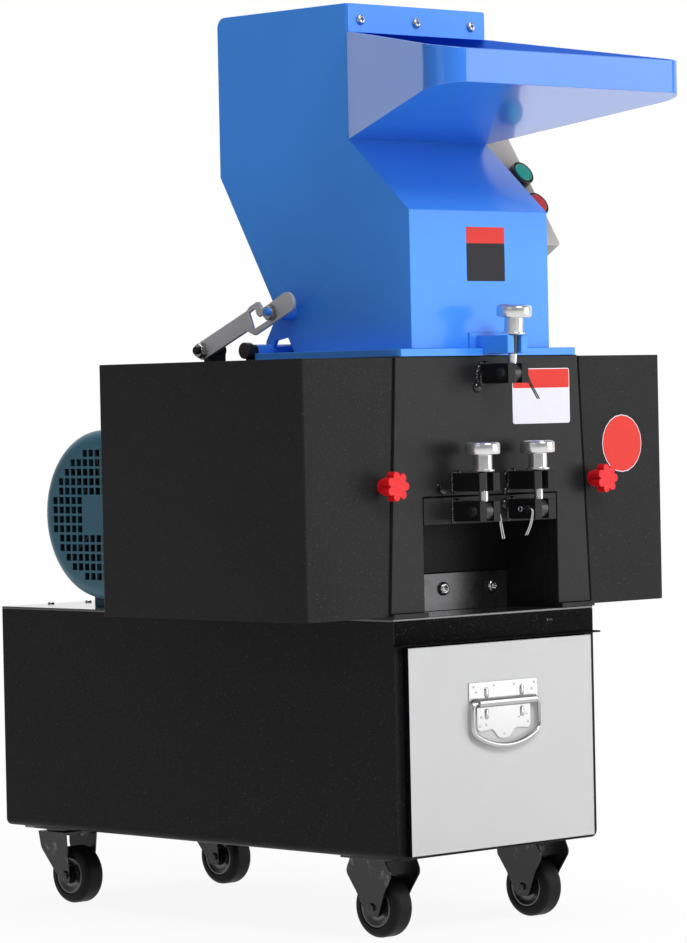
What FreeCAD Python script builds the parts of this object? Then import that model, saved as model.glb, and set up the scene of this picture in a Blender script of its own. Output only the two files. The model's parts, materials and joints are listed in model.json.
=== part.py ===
"""Plastic shredder on castors: base cabinet with a drawer, crusher, hopper, guards, motor and controls.

Millimetres, +Z up. The drawer side faces -Y and +X is to the right seen from there.
The origin is on the floor under the centre of the machine. Distances called "behind" or
"ahead" are counted from the front face of the base cabinet.
"""
import FreeCAD, Part
import math
import os
import re

import Sketcher

SIZES = {
    # Where the front face of the base stands
    "front": -270.5,
    # Base cabinet
    "base_width": 317,
    "base_depth": 674,
    "base_bottom": 91,
    "base_top": 354,
    "cabinet_wall": 2,
    "cabinet_fold": 8,
    "top_sheet": 3,
    "discharge_width": 200,
    "discharge_front": 105,
    "discharge_rear": 300,
    "front_flange": 15,
    "front_sill": 4,
    "rail_bottom": 324,
    "rail_lip": 12,
    "guide_width": 12,
    "guide_place": 120,
    # Drawer
    "drawer_width": 280,
    "drawer_length": 430,
    "drawer_bottom": 100,
    "drawer_top": 305,
    "drawer_sheet": 1.5,
    "slide_gap": 0.3,
    "panel_width": 290,
    "panel_bottom": 95,
    "panel_top": 322,
    "panel_depth": 9,
    "panel_gap": 0.5,
    # Drawer handle
    "handle_width": 108,
    "handle_top": 278.5,
    "handle_sheet": 1.5,
    "handle_pivot_z": 256,
    "handle_lower_width": 84,
    "handle_lower_bottom": 224,
    "handle_lobe_radius": 11,
    "curl_radius": 5.2,
    "curl_width": 90,
    "curl_bore": 3.08,
    "bail_rod": 3,
    "bail_half": 53,
    "bail_drop": 61,
    "bail_side": 33,
    "bail_corner": 7,
    "bail_bend": 12,
    "bail_bow": 95,
    "bail_end": 14,
    # Castors
    "wheel_radius": 34,
    "wheel_width": 28,
    "wheel_round": 7,
    "rim_radius": 22.5,
    "rim_recess": 3.5,
    "hub_radius": 9,
    "hub_width": 31,
    "axle_radius": 4,
    "axle_gap": 0.08,
    "axle_half": 23,
    "castor_x": 119,
    "front_castor_behind": 64,
    "rear_castor_behind": 614,
    "castor_trail": 24,
    "plate_thick": 2.5,
    "plate_half_width": 30,
    "plate_half_length": 37,
    "leg_sheet": 2.5,
    "leg_foot_half": 18.5,
    "leg_top_half": 25,
    "lobe_half": 36,
    "lobe_top_half": 27,
    "lobe_height": 73,
    "race_radius": 21,
    "race_height": 3.2,
    "crown_height": 5,
    "swivel_gap": 0.1,
    # Crusher body
    "body_top": 639,
    "shoulder_inset": 14.5,
    "foot_inset": 0.5,
    "body_front": 3,
    "front_plate": 10,
    "leg_inner": 106,
    "window_top": 485,
    "foot_top": 359,
    "foot_ahead": 3,
    "foot_overhang": 0.5,
    "body_rear": 332,
    "rear_plate": 10,
    "top_frame": 12,
    "top_frame_rear": 345,
    "throat_half": 105,
    "throat_front": 18,
    "throat_rear": 196,
    "cradle_bottom": 454,
    "cradle_top": 484,
    "cradle_depth": 22,
    "cradle_gap": 1,
    "chute_behind": 87,
    "chute_plate": 6,
    "chute_seam": 396,
    "bed_step": 3,
    "tab_reach": 178,
    "tab_half": 13,
    "tab_depth": 8,
    # Side guards
    "guard_outer": 282.5,
    "guard_top": 638,
    "guard_bottom": 356,
    "guard_front": 4,
    "guard_rear": 338,
    "guard_gap": 1.5,
    "guard_sheet": 2,
    "guard_corner": 3,
    "belt_guard_rear": 604,
    "belt_guard_inner": 163,
    "belt_guard_round": 38,
    "shaft_hole": 20,
    # Star knobs
    "knob_x": 166,
    "knob_z": 498.5,
    "star_core": 12,
    "star_lobe": 4.7,
    "star_lobe_place": 11.6,
    "star_thick": 11,
    "star_stand": 14,
    "star_neck": 8.5,
    "stud_radius": 4,
    "stud_gap": 0.4,
    "stud_depth": 17,
    # Swing bolts
    "bolt_ahead": 28.5,
    "bolt_half_pitch": 43.5,
    "top_bolt_x": 5,
    "top_bolt_lean": 4.5,
    "low_pin_z": 468,
    "top_pin_z": 619,
    "fork_half": 16,
    "slot_half": 5.5,
    "slot_back": 14.5,
    "tine_tip": 10,
    "clevis_half_height": 11,
    "fork_low": 22,
    "fork_high": 42,
    "root_half": 26,
    "root_sheet": 2.5,
    "pin_radius": 4,
    "pin_gap": 0.06,
    "pin_overhang": 4,
    "pin_head_radius": 6.2,
    "pin_head": 3.5,
    "eye_radius": 10,
    "eye_half": 5.2,
    "eye_gap": 0.08,
    "shank_radius": 4.8,
    "washer_low": 43.6,
    "washer_thick": 2,
    "washer_radius": 13,
    "neck_radius": 10.5,
    "head_low": 62,
    "head_high": 76,
    "head_radius": 19.5,
    "head_round": 3.5,
    # Hopper
    "hopper_sheet": 2,
    "hopper_half": 109,
    "neck_front": 12.5,
    "neck_top": 800,
    "mouth_front": 105.5,
    "mouth_bottom": 882,
    "mouth_top": 1002,
    "hopper_top": 1033,
    "hopper_back": 320,
    "hopper_knee": 851,
    "hopper_foot_back": 201.5,
    "hopper_round": 12,
    "flange_half": 138,
    "flange_rear": 236,
    "flange_thick": 8.5,
    # Feed tray
    "tray_reach": 133,
    "rim_half": 204.5,
    "rim_bottom": 927,
    "rim_top": 963,
    "tray_corner": 31,
    "tray_sheet": 2,
    # Rear hinge of the hopper
    "hinge_behind": 245,
    "hinge_z": 651,
    "hinge_pin": 4,
    "barrel_radius": 7,
    "barrel_inner": 77.5,
    "barrel_outer": 129.5,
    "lug_thick": 7,
    "lug_gap": 0.5,
    "cap_radius": 9.3,
    "cap_thick": 9,
    "rib_thick": 6,
    "rib_ahead": 4,
    "rib_after": 6,
    "rib_toe": 10,
    "rib_heel": 10,
    "rib_low": 15,
    "rib_high": 44,
    # Stay bar of the hopper
    "stay_x": 132,
    "stay_thick": 4,
    "stay_behind": 327,
    "stay_z": 653,
    "stay_angle": 22.5,
    "stay_half": 10.5,
    "stay_length": 163,
    "stay_neck": 78,
    "stay_step": 88,
    "stay_low": 20.3,
    "stay_high": 3.8,
    "stay_notch": 112,
    "stay_spread": 3.5,
    "stay_ear": 12.9,
    "stay_rim": 6.8,
    "window_end": 133,
    "window_sill": 4.3,
    "window_turn": 103,
    "stay_boss": 8.5,
    "stay_stud": 4.5,
    "latch_along": 128,
    "latch_across": -9,
    "latch_boss": 9.5,
    "latch_stud": 4.3,
    "latch_reach": 13,
    # Motor
    "motor_behind": 490,
    "motor_z": 465,
    "motor_radius": 90,
    "fin_reach": 97,
    "fin_thick": 3,
    "fin_count": 26,
    "frame_left": 94,
    "frame_right": 128,
    "shield_thick": 14,
    "shaft_radius": 12,
    "shaft_reach": 198,
    "rail_half_length": 107,
    "rail_near": 42,
    "rail_far": 72,
    "rail_height": 14,
    "foot_height": 12,
    "box_left": 36,
    "box_right": 54,
    "box_half_depth": 42,
    "box_top": 603,
    # Fan and its perforated cover
    "cover_radius": 99,
    "cover_end": 164,
    "cover_round": 17,
    "cover_sheet": 1.5,
    "grille_pitch": 11.1,
    "grille_hole": 8.2,
    "grille_rows": 14,
    "grille_radius": 80,
    "grille_solid": 21,
    "fan_radius": 78,
    "fan_hub": 17,
    "fan_left": 150,
    "fan_right": 116,
    "fan_blade": 3,
    "fan_blades": 9,
    "fan_shaft": 9,
    "fan_gap": 0.08,
    "fan_seat": 12,
    # Control box
    "control_right": 165,
    "control_behind": 44,
    "control_z": 765,
    "control_tilt": 32.3,
    "control_length": 168,
    "control_depth": 70,
    "control_round": 5,
    "button_x": 147,
    "green_up": 93.5,
    "red_up": 50.5,
    "bezel_radius": 15,
    "bezel_height": 11.5,
    "cap_button": 11.4,
    "button_gap": 0.1,
    "button_low": 4,
    "button_high": 12.3,
}

WORD = re.compile(r"[a-z][a-z_0-9]*")
X_AXIS = FreeCAD.Vector(1, 0, 0)
Y_AXIS = FreeCAD.Vector(0, 1, 0)
Z_AXIS = FreeCAD.Vector(0, 0, 1)
# How a sketch lies in each plane, and which way its solid grows
PLANES = {
    "xy": (FreeCAD.Rotation(), Z_AXIS),
    "xz": (FreeCAD.Rotation(X_AXIS, 90), Y_AXIS),
    "yz": (FreeCAD.Rotation(Y_AXIS, Z_AXIS, X_AXIS, "XYZ"), X_AXIS),
}
TURNS = {
    "x": FreeCAD.Rotation(Y_AXIS, 90),
    "y": FreeCAD.Rotation(X_AXIS, -90),
    "z": FreeCAD.Rotation(),
}

doc = FreeCAD.newDocument("shredder")
sheet = doc.addObject("Spreadsheet::Sheet", "Sizes")
for row, (alias, value) in enumerate(SIZES.items(), start=1):
    sheet.set(f"A{row}", alias)
    sheet.set(f"B{row}", str(value))
    sheet.setAlias(f"B{row}", alias)
doc.recompute()

pieces = []


def size(alias):
    """Value of one cell of the sheet."""
    return float(sheet.get(alias))


def formula(text):
    """Turn a formula in plain aliases into one that reads the sheet."""
    return WORD.sub(lambda word: "Sizes." + word.group(0) if word.group(0) in SIZES else word.group(0), text)


def worth(text):
    """Number that a formula gives now."""
    names = {alias: size(alias) for alias in SIZES if re.search(rf"\b{alias}\b", text)}
    return float(sheet.evalExpression(formula(text))) if names else float(sheet.evalExpression(text))


def bind(thing, prop, text):
    thing.setExpression(prop, formula(text))


def stand(thing, x="0", y="0", z="0"):
    """Tie the place of an object to the sheet, keeping its turn."""
    for letter, text in zip("xyz", (x, y, z)):
        if text != "0":
            bind(thing, f".Placement.Base.{letter}", text)
    return thing


def keep(thing, label):
    """Mark an object as a sub-part with the name of its file."""
    thing.Label = label
    pieces.append(thing)
    return thing


def block(name, x, y, z):
    """Box between two planes on each axis."""
    box = doc.addObject("Part::Box", name)
    for prop, (low, high) in zip(("Length", "Width", "Height"), (x, y, z)):
        bind(box, prop, f"({high}) - ({low})")
    return stand(box, x[0], y[0], z[0])


def rod(name, radius, axis, low, high, centre):
    """Cylinder along one axis, from low to high, centred on the other two."""
    cylinder = doc.addObject("Part::Cylinder", name)
    bind(cylinder, "Radius", radius)
    bind(cylinder, "Height", f"({high}) - ({low})")
    cylinder.Placement = FreeCAD.Placement(FreeCAD.Vector(), TURNS[axis])
    base = list(centre)
    base.insert("xyz".index(axis), low)
    return stand(cylinder, *base)


def sketch(name, plane, corners, circles=()):
    """Closed outline through corners (u, v) or (u, v, radius), with round holes (u, v, radius)."""
    drawing = doc.addObject("Sketcher::SketchObject", name)
    drawing.Placement = FreeCAD.Placement(FreeCAD.Vector(), PLANES[plane][0])
    places = [FreeCAD.Vector(worth(corner[0]), worth(corner[1]), 0) for corner in corners]
    count = len(places)

    def dimension(kind, geometry, position, text):
        index = drawing.addConstraint(
            Sketcher.Constraint(kind, -1, 1, geometry, position, worth(text)))
        drawing.setExpression(f"Constraints[{index}]", formula(text))

    def tangent_points(index):
        radius = worth(corners[index][2])
        here = places[index]
        before = (places[index - 1] - here).normalize()
        after = (places[(index + 1) % count] - here).normalize()
        half = before.getAngle(after) / 2
        reach = radius / math.tan(half)
        centre = here + (before + after).normalize() * (radius / math.sin(half))
        return here + before * reach, here + after * reach, centre, radius

    starts = []
    ends = []
    for index in range(count):
        if len(corners[index]) > 2:
            arrive, leave, _, _ = tangent_points(index)
        else:
            arrive, leave = places[index], places[index]
        ends.append(arrive)
        starts.append(leave)
    lines = [drawing.addGeometry(Part.LineSegment(starts[index], ends[(index + 1) % count]), False)
             for index in range(count)]
    for index, corner in enumerate(corners):
        before, after = lines[index - 1], lines[index]
        if len(corner) == 2:
            drawing.addConstraint(Sketcher.Constraint("Coincident", before, 2, after, 1))
            dimension("DistanceX", after, 1, corner[0])
            dimension("DistanceY", after, 1, corner[1])
            continue
        point = drawing.addGeometry(Part.Point(places[index]), True)
        dimension("DistanceX", point, 1, corner[0])
        dimension("DistanceY", point, 1, corner[1])
        drawing.addConstraint(Sketcher.Constraint("PointOnObject", point, 1, before))
        drawing.addConstraint(Sketcher.Constraint("PointOnObject", point, 1, after))
        arrive, leave, centre, radius = tangent_points(index)
        first = math.atan2(arrive.y - centre.y, arrive.x - centre.x)
        last = math.atan2(leave.y - centre.y, leave.x - centre.x)
        clockwise = (last - first) % (2 * math.pi) > math.pi
        if clockwise:
            first, last = last, first
        circle = Part.Circle(centre, Z_AXIS, radius)
        arc = drawing.addGeometry(Part.ArcOfCircle(circle, first, last), False)
        start_end, end_end = (2, 1) if clockwise else (1, 2)
        drawing.addConstraint(Sketcher.Constraint("Tangent", before, 2, arc, start_end))
        drawing.addConstraint(Sketcher.Constraint("Tangent", arc, end_end, after, 1))
        index_radius = drawing.addConstraint(Sketcher.Constraint("Radius", arc, radius))
        drawing.setExpression(f"Constraints[{index_radius}]", formula(corner[2]))
    for u, v, radius in circles:
        centre = FreeCAD.Vector(worth(u), worth(v), 0)
        hole = drawing.addGeometry(Part.Circle(centre, Z_AXIS, worth(radius)), False)
        dimension("DistanceX", hole, 3, u)
        dimension("DistanceY", hole, 3, v)
        index_radius = drawing.addConstraint(Sketcher.Constraint("Radius", hole, worth(radius)))
        drawing.setExpression(f"Constraints[{index_radius}]", formula(radius))
    return drawing


def prism(name, plane, corners, low, high, circles=()):
    """Solid with an outline in one plane, between low and high on the third axis."""
    drawing = sketch(name + "_outline", plane, corners, circles)
    direction = PLANES[plane][1]
    letter = {"xy": "z", "xz": "y", "yz": "x"}[plane]
    if low != "0":
        bind(drawing, f".Placement.Base.{letter}", low)
    solid = doc.addObject("Part::Extrusion", name)
    solid.Base = drawing
    solid.DirMode = "Custom"
    solid.Dir = direction
    solid.Solid = True
    bind(solid, "LengthFwd", f"({high}) - ({low})")
    return solid


def turned(name, corners, axis_letter="x"):
    """Solid of revolution about X: corners give (place along the axis, radius)."""
    drawing = sketch(name + "_profile", "xz" if axis_letter == "x" else "yz", corners)
    solid = doc.addObject("Part::Revolution", name)
    solid.Source = drawing
    solid.Axis = X_AXIS if axis_letter == "x" else Y_AXIS
    solid.Base = FreeCAD.Vector()
    solid.Angle = 360
    solid.Solid = True
    return solid


def fuse(name, *solids):
    joined = doc.addObject("Part::MultiFuse", name)
    joined.Shapes = list(solids)
    return joined


def cut(name, base, *tools):
    result = doc.addObject("Part::Cut", name)
    result.Base = base
    result.Tool = tools[0] if len(tools) == 1 else fuse(name + "_tools", *tools)
    return result


def common(name, *solids):
    shared = doc.addObject("Part::MultiCommon", name)
    shared.Shapes = list(solids)
    return shared


def gather(name, *solids):
    """Several solids of one sub-part that don't touch."""
    group = doc.addObject("Part::Compound", name)
    group.Links = list(solids)
    return group


def behind(text):
    """Place on Y of something this far behind the front face."""
    return f"front + ({text})"


def both_sides(text):
    return f"-({text})", f"({text})"


def half(text):
    return both_sides(f"({text}) / 2")


# Base cabinet: a folded box with an open front, a sill, side flanges and two floor guides
def make_cabinet():
    top = "base_top - top_sheet"
    outer = prism("cabinet_outer", "xz", [
        ("-base_width / 2", "base_bottom", "cabinet_fold"),
        ("base_width / 2", "base_bottom", "cabinet_fold"),
        ("base_width / 2", top),
        ("-base_width / 2", top)], "front", behind("base_depth"))
    inner = prism("cabinet_inner", "xz", [
        ("cabinet_wall - base_width / 2", "base_bottom + cabinet_wall", "cabinet_fold - cabinet_wall"),
        ("base_width / 2 - cabinet_wall", "base_bottom + cabinet_wall", "cabinet_fold - cabinet_wall"),
        ("base_width / 2 - cabinet_wall", "base_top"),
        ("cabinet_wall - base_width / 2", "base_top")],
        behind("cabinet_wall"), behind("base_depth - cabinet_wall"))
    front_depth = (behind("-1"), behind("cabinet_wall + 1"))
    doorway = block("cabinet_doorway", both_sides("base_width / 2 - front_flange"), front_depth,
                    ("base_bottom + front_sill", "rail_bottom"))
    rail_gap = block("cabinet_rail_gap", both_sides("base_width / 2 - cabinet_wall"), front_depth,
                     ("rail_bottom", "base_top"))
    shell = cut("cabinet_shell", outer, inner, doorway, rail_gap)
    guides = []
    for side, (low, high) in {"left": ("-guide_place - guide_width", "-guide_place"),
                              "right": ("guide_place", "guide_place + guide_width")}.items():
        guides.append(block(f"cabinet_guide_{side}", (low, high), (behind("cabinet_wall"), behind("drawer_length")),
                            ("base_bottom + cabinet_wall / 2", "drawer_bottom - slide_gap")))
    keep(fuse("cabinet", shell, *guides), "base_cabinet")


def make_base_top():
    plate = block("top_plate", half("base_width"), ("front", behind("base_depth")),
                  ("base_top - top_sheet", "base_top"))
    chute = block("top_discharge", half("discharge_width"),
                  (behind("discharge_front"), behind("discharge_rear")), ("base_top - 10", "base_top + 10"))
    keep(cut("top_with_discharge", plate, chute), "base_top")


def make_front_rail():
    upright = block("rail_upright", both_sides("base_width / 2 - cabinet_wall"),
                    ("front", behind("cabinet_wall")), ("rail_bottom", "base_top - top_sheet"))
    lip = block("rail_fold", half("base_width"), (behind("-rail_lip"), "front"),
                ("rail_bottom", "rail_bottom + cabinet_wall"))
    keep(fuse("rail_joined", upright, lip), "front_rail")


# Drawer: an open box and the folded panel in front of it
def make_drawer():
    outer = block("tray_outer", half("drawer_width"),
                  (behind("drawer_sheet - panel_depth"), behind("drawer_length")), ("drawer_bottom", "drawer_top"))
    inner = block("tray_inner", both_sides("drawer_width / 2 - drawer_sheet"),
                  (behind("2 * drawer_sheet - panel_depth"), behind("drawer_length - drawer_sheet")),
                  ("drawer_bottom + drawer_sheet", "drawer_top + 10"))
    keep(cut("tray_box", outer, inner), "drawer_tray")
    panel = block("panel_outer", half("panel_width"), (behind("-panel_depth"), behind("-panel_gap")),
                  ("panel_bottom", "panel_top"))
    pocket = block("panel_pocket", both_sides("panel_width / 2 - drawer_sheet"),
                   (behind("drawer_sheet - panel_depth"), behind("1")),
                   ("panel_bottom + drawer_sheet", "panel_top - drawer_sheet"))
    keep(cut("panel_folded", panel, pocket), "drawer_front")


# Chest handle: a plate with a rolled curl that holds a swinging bail
def make_handle():
    face = (behind("-panel_depth - handle_sheet"), behind("-panel_depth"))
    curl_y = behind("-panel_depth - curl_radius")
    upper = block("handle_upper", half("handle_width"), face, ("handle_pivot_z", "handle_top"))
    lower = prism("handle_lower", "xz", [
        ("-handle_lower_width / 2", "handle_lower_bottom", "5"),
        ("-handle_lobe_radius * 1.6", "handle_lower_bottom + 2", "9"),
        ("-handle_lobe_radius * 0.75", "handle_lower_bottom - 9", "12.5"),
        ("handle_lobe_radius * 0.75", "handle_lower_bottom - 9", "12.5"),
        ("handle_lobe_radius * 1.6", "handle_lower_bottom + 2", "9"),
        ("handle_lower_width / 2", "handle_lower_bottom", "5"),
        ("handle_lower_width / 2", "handle_pivot_z"),
        ("-handle_lower_width / 2", "handle_pivot_z")], *face)
    curl = rod("handle_curl", "curl_radius", "x", "-curl_width / 2", "curl_width / 2", (curl_y, "handle_pivot_z"))
    bore = rod("handle_bore", "curl_bore", "x", "-curl_width", "curl_width", (curl_y, "handle_pivot_z"))
    keep(cut("handle_rolled", fuse("handle_blank", upper, lower, curl), bore), "handle_plate")


def rounded_route(places, radius):
    """Straight runs joined by arcs, through a list of points with one corner radius each."""
    edges = []
    here = places[0]
    for index in range(1, len(places) - 1):
        corner = places[index]
        before = (places[index - 1] - corner).normalize()
        after = (places[index + 1] - corner).normalize()
        angle = before.getAngle(after) / 2
        reach = radius[index - 1] / math.tan(angle)
        start = corner + before * reach
        end = corner + after * reach
        middle = corner + (before + after).normalize() * (radius[index - 1] / math.sin(angle) - radius[index - 1])
        edges.append(Part.LineSegment(here, start).toShape())
        edges.append(Part.Arc(start, middle, end).toShape())
        here = end
    edges.append(Part.LineSegment(here, places[-1]).toShape())
    return Part.Wire(edges)


def make_bail():
    """Bent rod whose two ends lie in the curl of the handle."""
    half_width = size("bail_half")
    inside = half_width - size("bail_end")
    side = -size("bail_side")
    drop = -size("bail_drop")
    points = [(-inside, 0), (-half_width, 0), (-half_width, side), (0, drop), (half_width, side),
              (half_width, 0), (inside, 0)]
    corner, bend, bow = size("bail_corner"), size("bail_bend"), size("bail_bow")
    route = rounded_route([FreeCAD.Vector(x, 0, z) for x, z in points],
                          [corner, bend, bow, bend, corner])
    section = Part.Wire(Part.makeCircle(size("bail_rod"), FreeCAD.Vector(-inside, 0, 0), X_AXIS))
    bail = doc.addObject("Part::Feature", "bail_bent")
    bail.Shape = route.makePipeShell([section], True, False)
    stand(bail, y=behind("-panel_depth - curl_radius"), z="handle_pivot_z")
    keep(bail, "handle_bail")


# Castors: two rigid ones in front, two swivel ones behind
def leg_arch(name, top):
    """Inverted U across the wheel, wider at the top than at the axle."""
    foot = "wheel_radius - 10"
    outer = prism(name + "_arch", "xz", [
        ("-leg_foot_half", foot), ("leg_foot_half", foot), ("leg_top_half", top), ("-leg_top_half", top)],
        "-60", "60")
    inner = prism(name + "_gap", "xz", [
        ("leg_sheet - leg_foot_half", "0"), ("leg_foot_half - leg_sheet", "0"),
        ("leg_top_half - leg_sheet", f"{top} - leg_sheet"), ("leg_sheet - leg_top_half", f"{top} - leg_sheet")],
        "-70", "70")
    return outer, inner


def make_wheel(label, x, y):
    side = "wheel_width / 2"
    rim = "wheel_width / 2 - rim_recess"
    wheel = turned(label + "_turned", [
        ("-hub_width / 2", "axle_radius + axle_gap"), ("-hub_width / 2", "hub_radius"),
        (f"-({rim})", "hub_radius"), (f"-({rim})", "rim_radius"), (f"-({side})", "rim_radius + 1"),
        (f"-({side})", "wheel_radius", "wheel_round"), (side, "wheel_radius", "wheel_round"),
        (side, "rim_radius + 1"), (rim, "rim_radius"), (rim, "hub_radius"), ("hub_width / 2", "hub_radius"),
        ("hub_width / 2", "axle_radius + axle_gap")])
    keep(stand(wheel, x, y, "wheel_radius"), label)


def make_front_castors():
    brackets = []
    top = "base_bottom - plate_thick"
    for side, x in {"left": "-castor_x", "right": "castor_x"}.items():
        name = f"rigid_{side}"
        outline = prism(name + "_side", "yz", [
            ("-lobe_top_half", top), ("-lobe_half", "lobe_height", "9"), ("-22", "lobe_height - 22", "14"),
            ("-9", "wheel_radius - 10", "8"), ("9", "wheel_radius - 10", "8"),
            ("22", "lobe_height - 22", "14"), ("lobe_half", "lobe_height", "9"), ("lobe_top_half", top)],
            "-leg_top_half - 1", "leg_top_half + 1")
        arch, gap = leg_arch(name, top)
        legs = cut(name + "_legs", common(name + "_legs_blank", outline, arch), gap)
        plate = block(name + "_plate", both_sides("plate_half_width"), both_sides("plate_half_length"),
                      (top, "base_bottom"))
        axle = rod(name + "_axle", "axle_radius", "x", "-axle_half", "axle_half", ("0", "wheel_radius"))
        bracket = fuse(name + "_bracket", legs, plate, axle)
        brackets.append(stand(bracket, x, behind("front_castor_behind")))
        make_wheel(f"wheel_front_{side}", x, behind("front_castor_behind"))
    keep(gather("rigid_brackets", *brackets), "front_castor_brackets")


def make_rear_castors():
    plates = []
    plate_low = "base_bottom - plate_thick"
    crown_top = f"{plate_low} - race_height - swivel_gap"
    for side, x in {"left": "-castor_x", "right": "castor_x"}.items():
        name = f"swivel_{side}"
        plate = block(name + "_plate", both_sides("plate_half_width"), both_sides("plate_half_length"),
                      (plate_low, "base_bottom"))
        race = rod(name + "_race", "race_radius", "z", f"{plate_low} - race_height", plate_low, ("0", "0"))
        fixed = fuse(name + "_fixed", plate, race)
        plates.append(stand(fixed, x, behind("rear_castor_behind")))
        outline = prism(name + "_side", "yz", [
            ("-castor_trail - 8", "wheel_radius - 10", "7"), ("8 - castor_trail", "wheel_radius - 10", "7"),
            ("race_radius - 5", "lobe_height - 8", "14"), ("race_radius - 3", crown_top),
            ("-castor_trail - 8", crown_top)],
            "-leg_top_half - 1", "leg_top_half + 1")
        arch, gap = leg_arch(name, crown_top)
        legs = cut(name + "_legs", common(name + "_legs_blank", outline, arch), gap)
        crown = rod(name + "_crown", "race_radius", "z", f"{crown_top} - crown_height", crown_top, ("0", "0"))
        axle = rod(name + "_axle", "axle_radius", "x", "-axle_half", "axle_half", ("-castor_trail", "wheel_radius"))
        fork = fuse(name + "_fork", legs, crown, axle)
        keep(stand(fork, x, behind("rear_castor_behind")), f"castor_fork_{side}")
        make_wheel(f"wheel_rear_{side}", x, behind("rear_castor_behind - castor_trail"))
    keep(gather("swivel_plates", *plates), "rear_castor_plates")


# Crusher body between the side guards: it stands on the base, so its width follows the base
SHOULDER = "(base_width / 2 - shoulder_inset)"
FOOT = "(base_width / 2 - foot_inset)"


def body_edge(height):
    """Half width of the body at a height: its sides lean out towards the feet."""
    return (f"({SHOULDER} + (shoulder_inset - foot_inset) * (body_top - ({height}))"
            " / (body_top - foot_top))")


def make_front_plate():
    plate = prism("front_plate_cut", "xz", [
        ("-" + FOOT, "foot_top"), ("-leg_inner", "foot_top"), ("-leg_inner", "window_top"),
        ("leg_inner", "window_top"), ("leg_inner", "foot_top"), (FOOT, "foot_top"),
        (SHOULDER, "body_top"), ("-" + SHOULDER, "body_top")],
        behind("body_front"), behind("body_front + front_plate"))
    keep(plate, "crusher_front_plate")


def make_cheeks():
    top = "body_top - top_frame"
    start = "body_front + front_plate"
    for side, sign in {"left": "-", "right": ""}.items():
        name = f"cheek_{side}"

        def across(near, far):
            low, high = (f"-({far})", f"-({near})") if sign else (near, far)
            return low, high

        corners = [("leg_inner", "foot_top"), ("leg_inner", top), (body_edge(top), top),
                   (FOOT, "foot_top")]
        if sign:
            corners = [(f"-({u})", v) for u, v in corners]
        wall = prism(name + "_wall", "xz", corners, behind(start), behind("body_rear"))
        foot = block(name + "_foot", across("leg_inner", "base_width / 2 + foot_overhang"),
                     (behind("-foot_ahead"), behind("body_rear + 4")), ("base_top", "foot_top"))
        tall = ("knob_z - tab_half", "knob_z + tab_half")
        inner = f"{body_edge('knob_z')} + guard_gap"
        tab = block(name + "_tab", across(inner, "tab_reach"),
                    (behind("guard_front + guard_sheet"), behind(f"{start} + tab_depth")), tall)
        neck = block(name + "_tab_neck", across("leg_inner + 10", inner + " + 1"),
                     (behind(f"{start} + 0.5"), behind(f"{start} + tab_depth")), tall)
        hole_x = "-knob_x" if sign else "knob_x"
        hole = rod(name + "_tab_hole", "stud_radius + stud_gap / 4", "y", behind("0"), behind("40"),
                   (hole_x, "knob_z"))
        keep(cut(name + "_drilled", fuse(name + "_joined", wall, foot, tab, neck), hole), f"crusher_cheek_{side}")


def make_rear_plate():
    keep(block("rear_wall", both_sides("leg_inner"), (behind("body_rear - rear_plate"), behind("body_rear")),
               ("foot_top", "body_top - top_frame")), "crusher_rear_plate")


def make_chute():
    """Plates behind the window between the legs: the lower one is the bed with its bolts."""
    inside = both_sides("leg_inner")
    keep(block("chute_top", inside, (behind("chute_behind"), behind("chute_behind + chute_plate")),
               ("chute_seam + 0.5", "cradle_top")), "chute_plate")
    keep(block("chute_bed", inside,
               (behind("chute_behind - bed_step"), behind("chute_behind + chute_plate + bed_step")),
               ("base_top", "chute_seam")), "bed_plate")


def make_cradle_bar():
    bar = block("cradle_front", both_sides("leg_inner - cradle_gap"),
                (behind("body_front"), behind("body_front + cradle_depth")), ("cradle_bottom", "cradle_top"))
    arms = []
    for side, (low, high) in {"left": ("cradle_gap - leg_inner", "cradle_gap - leg_inner + 12"),
                              "right": ("leg_inner - cradle_gap - 12", "leg_inner - cradle_gap")}.items():
        arms.append(block(f"cradle_arm_{side}", (low, high), (behind("body_front"), behind("chute_behind")),
                          ("cradle_bottom + 8", "cradle_top")))
    keep(fuse("cradle", bar, *arms), "cradle_bar")


def make_top_frame():
    """Frame that carries the hopper, with the hinge lugs and the boss of the stay bar."""
    plate = block("frame_plate", both_sides(SHOULDER),
                  (behind("body_front + front_plate"), behind("top_frame_rear")),
                  ("body_top - top_frame", "body_top"))
    throat = block("frame_throat", both_sides("throat_half"), (behind("throat_front"), behind("throat_rear")),
                   ("body_top - 2 * top_frame", "body_top + 5"))
    solids = []
    hinge = (behind("hinge_behind"), "hinge_z")
    for side, sign in {"left": "-", "right": ""}.items():
        for place, near in {"inner": "barrel_inner - lug_gap - lug_thick", "outer": "barrel_outer + lug_gap"}.items():
            far = f"{near} + lug_thick"
            low, high = (f"-({far})", f"-({near})") if sign else (near, far)
            name = f"lug_{side}_{place}"
            foot = block(name + "_foot", (low, high), (behind("hinge_behind - 7"), behind("hinge_behind + 7")),
                         ("body_top - 1", "hinge_z"))
            head = rod(name + "_head", "barrel_radius", "x", low, high, hinge)
            solids += [foot, head]
    stay = (behind("stay_behind"), "stay_z")
    boss = rod("frame_stay_boss", "stay_boss", "x", "lug_gap - stay_x", "-leg_inner", stay)
    web = block("frame_stay_web", ("lug_gap - stay_x + 4", "-leg_inner"),
                (behind("stay_behind - 7"), behind("stay_behind + 7")), ("body_top - 1", "stay_z"))
    stud = rod("frame_stay_stud", "stay_stud", "x", "-stay_x - stay_thick - 11", "-leg_inner - 5", stay)
    drill = rod("frame_hinge_bore", "hinge_pin + pin_gap", "x", "-200", "200", hinge)
    joined = fuse("frame_joined", cut("frame_open", plate, throat), *solids, boss, web, stud)
    keep(cut("frame_drilled", joined, drill), "crusher_top_frame")


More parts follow.
